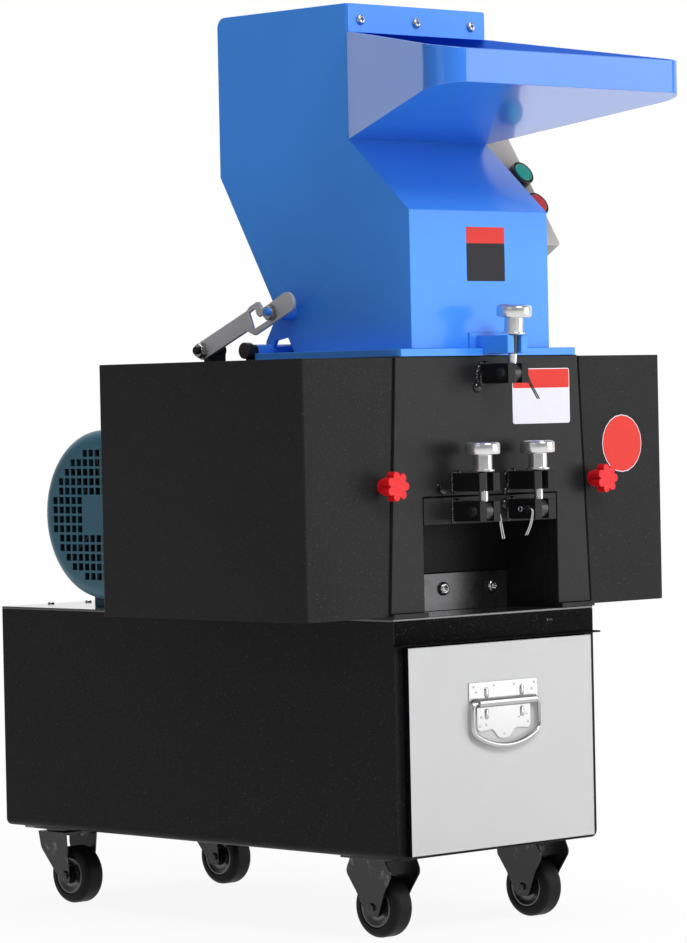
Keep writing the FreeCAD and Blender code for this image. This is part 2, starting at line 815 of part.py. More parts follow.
# Side guards
def make_left_guard():
    outer = prism("flywheel_guard_outer", "xz", [
        ("-guard_outer", "guard_bottom"),
        (f"-({body_edge('guard_bottom')} + guard_gap)", "guard_bottom"),
        (f"-({body_edge('guard_top')} + guard_gap)", "guard_top"), ("-guard_outer", "guard_top")],
        behind("guard_front"), behind("guard_rear"))
    plan = prism("flywheel_guard_plan", "xy", [
        ("-guard_outer", behind("guard_front"), "guard_corner"), ("0", behind("guard_front")),
        ("0", behind("guard_rear")), ("-guard_outer", behind("guard_rear"), "guard_corner")],
        "guard_bottom - 5", "guard_top + 5")
    inner = block("flywheel_guard_inner", ("guard_sheet - guard_outer", f"20 - {SHOULDER}"),
                  (behind("guard_front + guard_sheet"), behind("guard_rear - guard_sheet")),
                  ("guard_bottom + guard_sheet", "guard_top - guard_sheet"))
    hole = rod("flywheel_guard_hole", "stud_radius + stud_gap", "y", behind("-5"), behind("20"),
               ("-knob_x", "knob_z"))
    keep(cut("flywheel_guard", common("flywheel_guard_blank", outer, plan), inner, hole), "left_guard")


def make_right_guard():
    outer = prism("belt_guard_front", "xz", [
        (f"{body_edge('guard_bottom')} + guard_gap", "guard_bottom"), ("guard_outer", "guard_bottom", "5"),
        ("guard_outer", "guard_top"), (f"{body_edge('guard_top')} + guard_gap", "guard_top")],
        behind("guard_front"), behind("guard_rear"))
    tail = prism("belt_guard_tail", "yz", [
        (behind("guard_rear - 40"), "guard_bottom"), (behind("belt_guard_rear"), "guard_bottom", "12"),
        (behind("belt_guard_rear"), "guard_top", "belt_guard_round"), (behind("guard_rear - 40"), "guard_top")],
        "belt_guard_inner", "guard_outer")
    plan = prism("belt_guard_plan", "xy", [
        ("0", behind("guard_front")), ("guard_outer", behind("guard_front"), "guard_corner"),
        ("guard_outer", behind("belt_guard_rear"), "guard_corner"), ("0", behind("belt_guard_rear"))],
        "guard_bottom - 5", "guard_top + 5")
    skin_low = "guard_bottom + guard_sheet"
    skin_high = "guard_top - guard_sheet"
    inner = block("belt_guard_inner_front", (f"{SHOULDER} - 20", "guard_outer - guard_sheet"),
                  (behind("guard_front + guard_sheet"), behind("guard_rear - guard_sheet")), (skin_low, skin_high))
    inner_tail = prism("belt_guard_inner_tail", "yz", [
        (behind("guard_rear - 50"), skin_low), (behind("belt_guard_rear - guard_sheet"), skin_low, "10"),
        (behind("belt_guard_rear - guard_sheet"), skin_high, "belt_guard_round - guard_sheet"),
        (behind("guard_rear - 50"), skin_high)],
        "belt_guard_inner + guard_sheet", "guard_outer - guard_sheet")
    hole = rod("belt_guard_hole", "stud_radius + stud_gap", "y", behind("-5"), behind("20"), ("knob_x", "knob_z"))
    shaft = rod("belt_guard_shaft", "shaft_hole", "x", "belt_guard_inner - 5", "belt_guard_inner + 10",
                (behind("motor_behind"), "motor_z"))
    blank = common("belt_guard_blank", fuse("belt_guard_joined", outer, tail), plan)
    keep(cut("belt_guard", blank, inner, inner_tail, hole, shaft), "right_guard")


def make_star_knobs():
    """Two lobed hand knobs whose studs hold the guards."""
    knobs = []
    low = behind("guard_front - star_stand - star_thick")
    high = behind("guard_front - star_stand")
    lobes = 7
    for side, x in {"left": "-knob_x", "right": "knob_x"}.items():
        name = f"star_{side}"
        solids = [rod(name + "_core", "star_core", "y", low, high, (x, "knob_z"))]
        for lobe in range(lobes):
            turn = f"{360 / lobes * lobe} deg"
            solids.append(rod(f"{name}_lobe_{lobe + 1}", "star_lobe", "y", low, high,
                              (f"{x} + star_lobe_place * cos({turn})", f"knob_z + star_lobe_place * sin({turn})")))
        solids.append(rod(name + "_neck", "star_neck", "y", high, behind("guard_front"), (x, "knob_z")))
        solids.append(rod(name + "_stud", "stud_radius", "y", high, behind("guard_front + stud_depth"),
                          (x, "knob_z")))
        knobs.append(fuse(name + "_knob", *solids))
    keep(gather("star_pair", *knobs), "star_knobs")


# Swing bolts with their forks, clevises and pins
BOLTS = {
    "left": ("-bolt_half_pitch", "low_pin_z"),
    "right": ("bolt_half_pitch", "low_pin_z"),
    "top": ("top_bolt_x", "top_pin_z"),
}


def fork(name, x, root, low, high):
    """Block with a slot that is open to the front."""
    body = block(name + "_block", (f"{x} - fork_half", f"{x} + fork_half"),
                 (behind("-bolt_ahead - tine_tip"), behind(root)), (low, high))
    slot = block(name + "_slot", (f"{x} - slot_half", f"{x} + slot_half"),
                 (behind("-bolt_ahead - tine_tip - 5"), behind("-slot_back")), (f"{low} - 1", f"{high} + 1"))
    return cut(name + "_fork", body, slot)


def make_forks():
    solids = []
    pins = []
    for side, (x, pin_z) in BOLTS.items():
        ears = fork(f"clevis_{side}", x, "body_front", f"{pin_z} - clevis_half_height", f"{pin_z} + clevis_half_height")
        centre = (behind("-bolt_ahead"), pin_z)
        bore = rod(f"clevis_{side}_bore", "pin_radius + pin_gap", "x", f"{x} - 40", f"{x} + 40", centre)
        solids.append(cut(f"clevis_{side}_drilled", ears, bore))
        reach = "fork_half + pin_overhang"
        shaft = rod(f"pin_{side}_shaft", "pin_radius", "x", f"{x} - ({reach})", f"{x} + {reach}", centre)
        if side == "right":
            head_low, head_high = f"{x} + fork_half", f"{x} + fork_half + pin_head"
        else:
            head_low, head_high = f"{x} - fork_half - pin_head", f"{x} - fork_half"
        head = rod(f"pin_{side}_head", "pin_head_radius", "x", head_low, head_high, centre)
        pins.append(fuse(f"pin_{side}", shaft, head))
        if side != "top":
            solids.append(fork(f"catch_{side}", x, "body_front", f"{pin_z} + fork_low", f"{pin_z} + fork_high"))
    keep(gather("black_forks", *solids), "bolt_forks")
    keep(gather("clevis_pin_set", *pins), "clevis_pins")


def make_hopper_fork():
    """Blue fork on the neck of the hopper, notched over its flange."""
    x, pin_z = BOLTS["top"]
    arm = fork("hopper_catch", x, "neck_front", f"{pin_z} + fork_low", f"{pin_z} + fork_high")
    root = block("hopper_catch_root", (f"{x} - root_half", f"{x} + root_half"),
                 (behind("neck_front - root_sheet"), behind("neck_front")),
                 ("body_top + flange_thick", f"{pin_z} + fork_high + 4"))
    notch = block("hopper_catch_notch", (f"{x} - 60", f"{x} + 60"), (behind("0"), behind("neck_front + 10")),
                  ("body_top - 20", "body_top + flange_thick"))
    keep(cut("hopper_catch_notched", fuse("hopper_catch_joined", arm, root), notch), "hopper_fork")


def make_swing_bolts():
    """Eye bolts with a washer, a sleeve and a broad round knob, each in one piece."""
    for side, (x, pin_z) in BOLTS.items():
        name = f"bolt_{side}"
        eye = rod(name + "_eye", "eye_radius", "x", "-eye_half", "eye_half", ("0", "0"))
        shank = rod(name + "_shank", "shank_radius", "z", "eye_radius / 2", "head_low", ("0", "0"))
        washer = rod(name + "_washer", "washer_radius", "z", "washer_low", "washer_low + washer_thick", ("0", "0"))
        sleeve = rod(name + "_sleeve", "neck_radius", "z", "washer_low", "head_low + 2", ("0", "0"))
        profile = sketch(name + "_knob_profile", "xz", [
            ("0", "head_low"), ("head_radius", "head_low", "head_round / 2"),
            ("head_radius", "head_high", "head_round"), ("0", "head_high")])
        knob = doc.addObject("Part::Revolution", name + "_knob")
        knob.Source = profile
        knob.Axis = Z_AXIS
        knob.Base = FreeCAD.Vector()
        knob.Angle = 360
        knob.Solid = True
        bore = rod(name + "_bore", "pin_radius + eye_gap", "x", "-2 * eye_half", "2 * eye_half", ("0", "0"))
        solid = cut(name + "_solid", fuse(name + "_joined", eye, shank, washer, sleeve, knob), bore)
        if side == "top":
            solid.Placement = FreeCAD.Placement(
                FreeCAD.Vector(), FreeCAD.Rotation(X_AXIS, size("top_bolt_lean")))
            bind(solid, ".Placement.Rotation.Angle", "top_bolt_lean")
        keep(stand(solid, x, behind("-bolt_ahead"), pin_z), f"swing_bolt_{side}")


# Hopper, feed tray and what joins them to the crusher
FLANGE_TOP = "(body_top + flange_thick)"
REAR_SLOPE = f"((hopper_knee - {FLANGE_TOP}) / (hopper_back - hopper_foot_back))"
FRONT_SLOPE = "((mouth_bottom - neck_top) / (mouth_front - neck_front))"


def make_hopper():
    """Zigzag sheet hopper with the mouth in its upper front."""
    outer = prism("hopper_outer", "yz", [
        (behind("neck_front"), FLANGE_TOP), (behind("neck_front"), "neck_top"),
        (behind("mouth_front"), "mouth_bottom"), (behind("mouth_front"), "hopper_top"),
        (behind("hopper_back"), "hopper_top", "hopper_round"), (behind("hopper_back"), "hopper_knee"),
        (behind("hopper_foot_back"), FLANGE_TOP)], "-hopper_half", "hopper_half")
    front_drop = f"hopper_sheet * (sqrt(1 + {FRONT_SLOPE}^2) - {FRONT_SLOPE})"
    rear_lift = f"hopper_sheet * (sqrt(1 + {REAR_SLOPE}^2) - {REAR_SLOPE})"
    rear_in = f"hopper_sheet * sqrt(1 + 1 / {REAR_SLOPE}^2)"
    below = 5
    inner = prism("hopper_inner", "yz", [
        (behind("neck_front + hopper_sheet"), f"{FLANGE_TOP} - {below}"),
        (behind("neck_front + hopper_sheet"), f"neck_top - {front_drop}"),
        (behind("mouth_front + hopper_sheet"), f"mouth_bottom - {front_drop}"),
        (behind("mouth_front + hopper_sheet"), "hopper_top - hopper_sheet"),
        (behind("hopper_back - hopper_sheet"), "hopper_top - hopper_sheet", "hopper_round - hopper_sheet"),
        (behind("hopper_back - hopper_sheet"), f"hopper_knee + {rear_lift}"),
        (behind(f"hopper_foot_back - {rear_in} - {below} / {REAR_SLOPE}"), f"{FLANGE_TOP} - {below}")],
        "hopper_sheet - hopper_half", "hopper_half - hopper_sheet")
    mouth = block("hopper_mouth", both_sides("hopper_half - hopper_sheet"),
                  (behind("mouth_front - 5"), behind("mouth_front + 3 * hopper_sheet")),
                  ("mouth_bottom + hopper_sheet", "mouth_top"))
    latch = (behind("stay_behind - latch_along * cos(stay_angle * 1 deg) + latch_across * sin(stay_angle * 1 deg)"),
             "stay_z + latch_along * sin(stay_angle * 1 deg) + latch_across * cos(stay_angle * 1 deg)")
    boss = rod("hopper_latch_boss", "latch_boss", "x", "lug_gap - stay_x", "-hopper_half", latch)
    stud = rod("hopper_latch_stud", "latch_stud", "x", "-stay_x - stay_thick - latch_reach", "-hopper_half", latch)
    keep(fuse("hopper_welded", cut("hopper_sheets", outer, inner, mouth), boss, stud), "hopper_shell")


def make_flange():
    plate = block("flange_plate", both_sides("flange_half"), ("front", behind("flange_rear")),
                  ("body_top", FLANGE_TOP))
    throat = block("flange_throat", both_sides("throat_half"), (behind("throat_front"), behind("throat_rear")),
                   ("body_top - 5", f"{FLANGE_TOP} + 5"))
    keep(cut("flange_open", plate, throat), "hopper_flange")


def tray_solid(name, inset, lift, raised):
    """Tray as a flared plan cut by its sloping floor and rim, each side set in by the inset."""
    flare = "((rim_half - hopper_half) / (mouth_front + tray_reach))"
    near = "mouth_front" if inset == "0" else "mouth_front + 20"
    near_half = f"(hopper_half - ({near} - mouth_front) * {flare} - {inset} * sqrt(1 + {flare}^2))"
    far_half = f"(rim_half - {inset} * {flare} - {inset} * sqrt(1 + {flare}^2))"
    far = behind(f"{inset} - tray_reach")
    plan = prism(name + "_plan", "xy", [
        (f"-{near_half}", behind(near)), (f"-{far_half}", far, f"tray_corner - {inset}"),
        (far_half, far, f"tray_corner - {inset}"), (near_half, behind(near))],
        "mouth_bottom - 30", "hopper_top + 30")
    slope = "((rim_bottom - mouth_bottom) / (mouth_front + tray_reach))"
    side = prism(name + "_side", "yz", [
        (behind(near), f"mouth_bottom - ({near} - mouth_front) * {slope} + {lift}"),
        (behind(near), f"mouth_top + {raised}"),
        (behind("-tray_reach"), f"rim_top + {raised}"), (behind("-tray_reach"), f"rim_bottom + {lift}")],
        "-rim_half - 10", "rim_half + 10")
    return common(name + "_solid", plan, side)


def make_tray():
    outer = tray_solid("feed_outer", "0", "0", "0")
    inner = tray_solid("feed_inner", "tray_sheet", "tray_sheet", "200")
    keep(cut("feed_folded", outer, inner), "feed_tray")


def make_hinge():
    """Blue barrels with ribs up the back of the hopper, and the black pins in them."""
    solids = []
    pins = []
    hinge = (behind("hinge_behind"), "hinge_z")
    for side, sign in {"left": "-", "right": ""}.items():
        def across(near, far):
            return (f"-({far})", f"-({near})") if sign else (near, far)

        name = f"hinge_{side}"
        low, high = across("barrel_inner", "barrel_outer")
        barrel = rod(name + "_barrel", "barrel_radius", "x", low, high, hinge)
        web = block(name + "_web", (low, high), (behind("flange_rear"), behind("hinge_behind")),
                    ("hinge_z - barrel_radius", FLANGE_TOP))
        low, high = across("hopper_half - rib_thick - 2", "hopper_half - 2")
        low_tip, high_tip = (
            f"(hopper_foot_back + (hinge_z + {rise} - body_top - flange_thick) / {REAR_SLOPE})"
            for rise in ("rib_low", "rib_high"))
        rib = prism(name + "_rib", "yz", [
            (behind("hinge_behind - rib_ahead"), "hinge_z"), (behind("hinge_behind + rib_after"), "hinge_z"),
            (behind("hinge_behind + rib_after - 1"), "hinge_z + rib_heel"),
            (behind(high_tip), "hinge_z + rib_high"), (behind(low_tip), "hinge_z + rib_low"),
            (behind("hinge_behind - rib_toe"), "hinge_z + rib_heel + 1")], low, high)
        bore = rod(name + "_bore", "hinge_pin + pin_gap", "x", "-200", "200", hinge)
        solids.append(cut(name + "_blue", fuse(name + "_joined", barrel, web, rib), bore))
        inner_end = "barrel_inner - lug_gap - lug_thick - 5"
        cap_face = "barrel_outer + lug_gap + lug_thick"
        low, high = across(inner_end, f"{cap_face} + cap_thick")
        shaft = rod(name + "_shaft", "hinge_pin", "x", low, high, hinge)
        low, high = across(cap_face, f"{cap_face} + cap_thick")
        cap = rod(name + "_cap", "cap_radius", "x", low, high, hinge)
        pins.append(fuse(name + "_pin", shaft, cap))
    keep(gather("hinge_blue", *solids), "hinge_barrels")
    keep(gather("hinge_pin_pair", *pins), "hinge_pins")


def make_stay():
    """Flat stay bar with a window and a latch tooth."""
    bar = prism("stay_plate", "yz", [
        ("stay_half", "-stay_half", "stay_half - 0.5"), ("-stay_neck", "-stay_half", "4"),
        ("-stay_step", "-stay_low", "4"), ("-stay_length", "-stay_low", "11"),
        ("-stay_length", "stay_high", "11"), ("-stay_notch", "stay_high - 1.6", "1.5"),
        ("stay_spread - stay_notch", "stay_ear", "3"), ("-stay_step - 5", "stay_ear", "4"),
        ("1 - stay_step", "stay_half", "4"), ("stay_half", "stay_half", "stay_half - 0.5")], "0", "stay_thick")
    window = prism("stay_window", "yz", [
        ("-stay_step - 1", "stay_rim - stay_low", "1.5"), ("-window_end", "stay_rim - stay_low", "4.4"),
        ("-window_end", "-window_sill", "4.4"), ("-window_turn", "-window_sill", "1.2"),
        ("2.3 - window_turn", "0", "1"), ("1.7 - window_turn", "window_sill + 0.5", "0.8"),
        ("4 - window_turn", "stay_half - 2.9", "0.8"), ("-stay_step - 1", "stay_half - 3.5", "1.2")],
        "-5", "stay_thick + 5")
    eye = rod("stay_eye", "stay_stud + pin_gap", "x", "-10", "20", ("0", "0"))
    solid = cut("stay_cut", bar, window, eye)
    rise = FreeCAD.Rotation(FreeCAD.Vector(-1, 0, 0), size("stay_angle"))
    solid.Placement = FreeCAD.Placement(FreeCAD.Vector(), rise)
    bind(solid, ".Placement.Rotation.Angle", "stay_angle")
    stand(solid, "-stay_x - stay_thick", behind("stay_behind"), "stay_z")
    keep(solid, "stay_bar")


# Motor, its fan and the perforated cover
def make_motor():
    """Finned frame with feet, end shield and shaft."""
    axis = (behind("motor_behind"), "motor_z")
    core = rod("motor_core", "motor_radius", "x", "-frame_left", "frame_right", axis)
    shield = rod("motor_shield", "fin_reach - 2", "x", "frame_right - shield_thick", "frame_right", axis)
    nose = rod("motor_nose", "motor_radius / 2", "x", "frame_right", "frame_right + 10", axis)
    shaft = rod("motor_shaft", "shaft_radius", "x", "frame_right", "shaft_reach", axis)
    collar = rod("motor_collar", "cover_radius - cover_sheet - fan_gap", "x", "-frame_left", "9 - frame_left", axis)
    feet = block("motor_feet", ("-frame_left + 30", "frame_right - 20"),
                 (behind("motor_behind - rail_far"), behind("motor_behind + rail_far")),
                 ("base_top + rail_height", "base_top + rail_height + foot_height"))
    web = block("motor_feet_web", ("-frame_left + 36", "frame_right - 26"),
                (behind("motor_behind - rail_near - 8"), behind("motor_behind + rail_near + 8")),
                ("base_top + rail_height", "motor_z - motor_radius / 2"))
    fins = []
    count = int(size("fin_count"))
    for index in range(count):
        angle = 360 / count * (index + 0.5)
        if 240 < angle < 300 or 60 < angle < 120:
            continue
        fin = doc.addObject("Part::Box", f"motor_fin_{index + 1}")
        bind(fin, "Length", "frame_right - shield_thick + frame_left - 9")
        bind(fin, "Width", "fin_reach - motor_radius + 4")
        bind(fin, "Height", "fin_thick")
        turn = FreeCAD.Rotation(X_AXIS, angle)
        fin.Placement = FreeCAD.Placement(FreeCAD.Vector(), turn)
        across = f"(motor_radius - 4) * cos({angle} deg) + fin_thick / 2 * sin({angle} deg)"
        up = f"(motor_radius - 4) * sin({angle} deg) - fin_thick / 2 * cos({angle} deg)"
        fins.append(stand(fin, "9 - frame_left", behind(f"motor_behind + {across}"), f"motor_z + {up}"))
    bore = rod("motor_fan_bore", "fan_shaft + fan_gap", "x", "-frame_left - 5", "fan_seat + 1 - frame_left", axis)
    joined = fuse("motor_joined", core, shield, nose, shaft, collar, feet, web, *fins)
    keep(cut("motor_bored", joined, bore), "motor_frame")
    rails = [block(f"rail_{side}", both_sides("rail_half_length"), (behind(low), behind(high)),
                   ("base_top", "base_top + rail_height"))
             for side, (low, high) in {"near": ("motor_behind - rail_far", "motor_behind - rail_near"),
                                       "far": ("motor_behind + rail_near", "motor_behind + rail_far")}.items()]
    keep(gather("rail_pair", *rails), "motor_rails")
    lid = prism("terminal_lid", "yz", [
        (behind("motor_behind - box_half_depth"), "motor_z + motor_radius - 8"),
        (behind("motor_behind + box_half_depth"), "motor_z + motor_radius - 8"),
        (behind("motor_behind + box_half_depth"), "box_top", "6"),
        (behind("motor_behind - box_half_depth"), "box_top", "6")], "-box_left", "box_right")
    seat = rod("terminal_seat", "motor_radius", "x", "-frame_left", "frame_right", axis)
    keep(cut("terminal_hollowed", lid, seat), "terminal_box")


def make_fan_cover():
    """Dished cover with rows of square holes round a solid centre."""
    axis = (behind("motor_behind"), "motor_z")
    skin = "cover_radius - cover_sheet"
    shell = turned("cover_turned", [
        ("cover_sheet - cover_end", "0"), ("-cover_end", "0"), ("-cover_end", "cover_radius", "cover_round"),
        ("9 - frame_left", "cover_radius"), ("9 - frame_left", skin),
        ("cover_sheet - cover_end", skin, "cover_round - cover_sheet")])
    placed = stand(shell, "0", *axis)
    pitch, hole = size("grille_pitch"), size("grille_hole")
    rows = int(size("grille_rows"))
    reach, solid_half = size("grille_radius"), size("grille_solid")
    holes = []
    for row in range(rows):
        for column in range(rows):
            across = (column - (rows - 1) / 2) * pitch
            up = (row - (rows - 1) / 2) * pitch
            if math.hypot(abs(across) + hole / 2, abs(up) + hole / 2) > reach:
                continue
            if abs(across) < solid_half and abs(up) < solid_half:
                continue
            corner = FreeCAD.Vector(-size("cover_end") - 5, across - hole / 2, up - hole / 2)
            holes.append(Part.makeBox(size("cover_round") + 3, hole, hole, corner))
    punches = doc.addObject("Part::Feature", "cover_punches")
    punches.Shape = Part.makeCompound(holes)
    stand(punches, "0", *axis)
    keep(cut("cover_perforated", placed, punches), "fan_cover")


def make_fan():
    axis = (behind("motor_behind"), "motor_z")
    hub = rod("fan_hub_body", "fan_hub", "x", "-fan_left", "-fan_right", axis)
    disc = rod("fan_disc", "fan_radius - 8", "x", "-fan_right - 3", "-fan_right", axis)
    shaft = rod("fan_spindle", "fan_shaft", "x", "-fan_right - 2", "fan_seat - frame_left", axis)
    blades = []
    count = int(size("fan_blades"))
    for index in range(count):
        angle = 360 / count * index
        blade = doc.addObject("Part::Box", f"fan_blade_{index + 1}")
        bind(blade, "Length", "fan_left - fan_right")
        bind(blade, "Width", "fan_radius - fan_hub + 4")
        bind(blade, "Height", "fan_blade")
        blade.Placement = FreeCAD.Placement(FreeCAD.Vector(), FreeCAD.Rotation(X_AXIS, angle))
        across = f"(fan_hub - 4) * cos({angle} deg) + fan_blade / 2 * sin({angle} deg)"
        up = f"(fan_hub - 4) * sin({angle} deg) - fan_blade / 2 * cos({angle} deg)"
        blades.append(stand(blade, "-fan_left", behind(f"motor_behind + {across}"), f"motor_z + {up}"))
    keep(fuse("fan_joined", hub, disc, shaft, *blades), "motor_fan")


# Control box, tilted back on the right side of the hopper
def lean(thing, x="0", along="0", out="0"):
    """Put something made upright onto the tilted face: along its height, out from its face."""
    back = FreeCAD.Rotation(FreeCAD.Vector(-1, 0, 0), size("control_tilt"))
    thing.Placement = FreeCAD.Placement(FreeCAD.Vector(), back)
    bind(thing, ".Placement.Rotation.Angle", "control_tilt")
    sine, cosine = "sin(control_tilt * 1 deg)", "cos(control_tilt * 1 deg)"
    return stand(thing, x, behind(f"control_behind + ({along}) * {sine} - ({out}) * {cosine}"),
                 f"control_z + ({along}) * {cosine} + ({out}) * {sine}")


def make_controls():
    case = prism("control_case", "xz", [
        ("hopper_half", "0"), ("control_right", "0", "control_round"),
        ("control_right", "control_length", "control_round"), ("hopper_half", "control_length")],
        "0", "control_depth")
    keep(lean(case), "control_box")
    rings = []
    for name, up in {"green": "green_up", "red": "red_up"}.items():
        ring = rod(name + "_ring", "bezel_radius", "y", "-bezel_height", "0", ("0", "0"))
        well = rod(name + "_well", "cap_button + button_gap", "y", "-bezel_height - 1", "1", ("0", "0"))
        rings.append(lean(cut(name + "_bezel", ring, well), "button_x", up))
        button = turned(name + "_turned", [
            ("-button_high", "0"), ("-button_high", "cap_button", "1.2"), ("-button_low", "cap_button"),
            ("-button_low", "0")], "y")
        keep(lean(button, "button_x", up), f"{name}_button")
    keep(gather("bezel_pair", *rings), "button_bezels")


make_cabinet()
make_base_top()
make_front_rail()
make_drawer()
make_handle()
make_bail()
make_front_castors()
make_rear_castors()
make_front_plate()
make_cheeks()
make_rear_plate()
make_chute()
make_cradle_bar()
make_top_frame()
make_left_guard()
make_right_guard()
make_star_knobs()
make_forks()
make_hopper_fork()
make_swing_bolts()
make_hopper()
make_flange()
make_tray()
make_hinge()
make_stay()
make_motor()
make_fan_cover()
make_fan()
make_controls()
doc.recompute()

faults = [f"{thing.Name}: {thing.State}" for thing in doc.Objects
          if "Invalid" in thing.State or "Error" in thing.State]
for piece in pieces:
    if piece.Shape.isNull() or not piece.Shape.isValid() or not piece.Shape.Solids:
        faults.append(f"{piece.Label}: its shape is not sound")
if faults:
    raise SystemExit("\n".join(faults))

os.makedirs("parts", exist_ok=True)
for piece in pieces:
    piece.Shape.exportStep(f"parts/{piece.Label}.step")
    box = piece.Shape.optimalBoundingBox()
    print(f"{piece.Label:24s} solids {len(piece.Shape.Solids)}  volume {piece.Shape.Volume / 1000:9.1f} cm3"
          f"  x {box.XMin:7.1f} {box.XMax:7.1f}  y {box.YMin:7.1f} {box.YMax:7.1f}"
          f"  z {box.ZMin:7.1f} {box.ZMax:7.1f}")
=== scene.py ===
"""Dresses the plastic shredder: finishes, rounded edges, fastenings, labels, studio and camera.

Metres, +Z up. The drawer side faces -Y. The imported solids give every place: nothing here moves them.
"""
import json
import logging
import math
from dataclasses import dataclass, field
from enum import Enum
from typing import Callable, Iterable, Optional, Sequence, Union

import bmesh
import bpy
from mathutils import Matrix, Vector

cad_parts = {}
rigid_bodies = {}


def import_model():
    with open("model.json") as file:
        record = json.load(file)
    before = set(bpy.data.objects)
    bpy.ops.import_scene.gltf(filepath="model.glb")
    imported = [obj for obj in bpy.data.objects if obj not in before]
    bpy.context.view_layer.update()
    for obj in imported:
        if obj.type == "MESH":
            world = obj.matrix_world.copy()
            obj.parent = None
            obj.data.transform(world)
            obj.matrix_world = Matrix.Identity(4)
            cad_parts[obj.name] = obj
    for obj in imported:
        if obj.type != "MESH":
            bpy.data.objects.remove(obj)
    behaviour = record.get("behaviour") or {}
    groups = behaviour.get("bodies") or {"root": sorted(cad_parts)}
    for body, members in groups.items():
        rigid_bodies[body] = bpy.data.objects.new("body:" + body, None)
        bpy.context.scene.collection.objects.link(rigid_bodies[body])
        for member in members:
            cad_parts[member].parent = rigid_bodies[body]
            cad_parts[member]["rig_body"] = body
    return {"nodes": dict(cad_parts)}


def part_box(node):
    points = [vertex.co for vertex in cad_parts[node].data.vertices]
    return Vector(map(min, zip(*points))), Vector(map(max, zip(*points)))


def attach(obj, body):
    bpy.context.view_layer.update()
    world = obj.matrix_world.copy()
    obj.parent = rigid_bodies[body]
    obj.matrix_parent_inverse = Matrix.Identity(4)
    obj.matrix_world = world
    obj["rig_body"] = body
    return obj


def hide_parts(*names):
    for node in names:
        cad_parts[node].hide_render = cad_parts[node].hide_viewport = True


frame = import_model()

log = logging.getLogger("shredder")
MM = 0.001
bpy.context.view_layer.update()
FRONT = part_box("base_cabinet")[0][1]
Input = Union["Value", float, int, Sequence[float], str]


def at(x: float, behind: float, z: float) -> Vector:
    """Place in the row frame from millimetres.

    Args:
        x: to the right of the middle.
        behind: behind the front face of the base cabinet.
        z: above the floor.

    Returns:
        The point in metres.
    """
    return Vector((x * MM, FRONT + behind * MM, z * MM))


class Graph:
    """One node tree, with a single method that adds any node."""

    def __init__(self, tree: bpy.types.NodeTree) -> None:
        """Keep the tree that nodes are added to."""
        self.tree = tree

    def add(self, kind: str, settings: Optional[dict] = None,
            inputs: Optional[dict] = None, output: Union[int, str] = 0) -> "Value":
        """Add a node, set it up and feed its sockets.

        Args:
            kind: the node's type name.
            settings: its own properties, set first.
            inputs: socket name or number to a value or link.
            output: which output to hand back.

        Returns:
            The chosen output, which holds no socket on a node without one.
        """
        node = self.tree.nodes.new(kind)
        for name, setting in (settings or {}).items():
            setattr(node, name, setting)
        for key, given in (inputs or {}).items():
            socket = node.inputs[key]
            if isinstance(given, Value):
                self.tree.links.new(given.socket, socket)
            else:
                socket.default_value = given
        return Value(self, node.outputs[output] if len(node.outputs) else None)

    def ramp(self, factor: "Value", low: float, high: float) -> "Value":
        """Rise smoothly from 0 to 1 between two levels of a value."""
        return self.add("ShaderNodeMapRange", {"interpolation_type": "SMOOTHSTEP"},
                        {"Value": factor, "From Min": low, "From Max": high})

    def blend(self, factor: Input, first: Input, second: Input) -> "Value":
        """Mix two colours by a factor."""
        return self.add("ShaderNodeMix", {"data_type": "RGBA"}, {0: factor, 6: first, 7: second}, 2)

    def noise(self, where: "Value", scale: float, detail: float = 2.0, rough: float = 0.5) -> "Value":
        """Seeded noise at a number of patches a metre."""
        return self.add("ShaderNodeTexNoise", None,
                        {"Vector": where, "Scale": scale, "Detail": detail, "Roughness": rough})


@dataclass
class Value:
    """A socket that takes part in Python arithmetic."""

    graph: Graph
    socket: Optional[bpy.types.NodeSocket]

    def _math(self, operation: str, first: Input, second: Input) -> "Value":
        """Add one Math node for an operator."""
        return self.graph.add("ShaderNodeMath", {"operation": operation}, {0: first, 1: second})

    def __add__(self, other: Input) -> "Value":
        """Sum."""
        return self._math("ADD", self, other)

    def __radd__(self, other: Input) -> "Value":
        """Sum from the right."""
        return self._math("ADD", other, self)

    def __sub__(self, other: Input) -> "Value":
        """Difference."""
        return self._math("SUBTRACT", self, other)

    def __rsub__(self, other: Input) -> "Value":
        """Difference from the right."""
        return self._math("SUBTRACT", other, self)

    def __mul__(self, other: Input) -> "Value":
        """Product."""
        return self._math("MULTIPLY", self, other)


class Grain(Enum):
    """Fine structure of a surface."""

    POWDER = "powder"
    ENAMEL = "enamel"
    POLISHED = "polished"
    BRUSHED = "brushed"
    MOULDED = "moulded"
    MACHINED = "machined"
    CAST = "cast"


BROAD_PATCHES = 7.0
SMEAR_PATCHES = 45.0
RIPPLE_PATCHES = 160.0
LUMP_PATCHES = 260.0
DUST_PATCHES = 620.0
DUST_COLOUR = (0.075, 0.075, 0.078, 1)
DUST_SHARE = 0.8
SPECK_SHARE = 0.35
COAT_ROUGHNESS = 0.06
BUMP_STRENGTH = 0.5


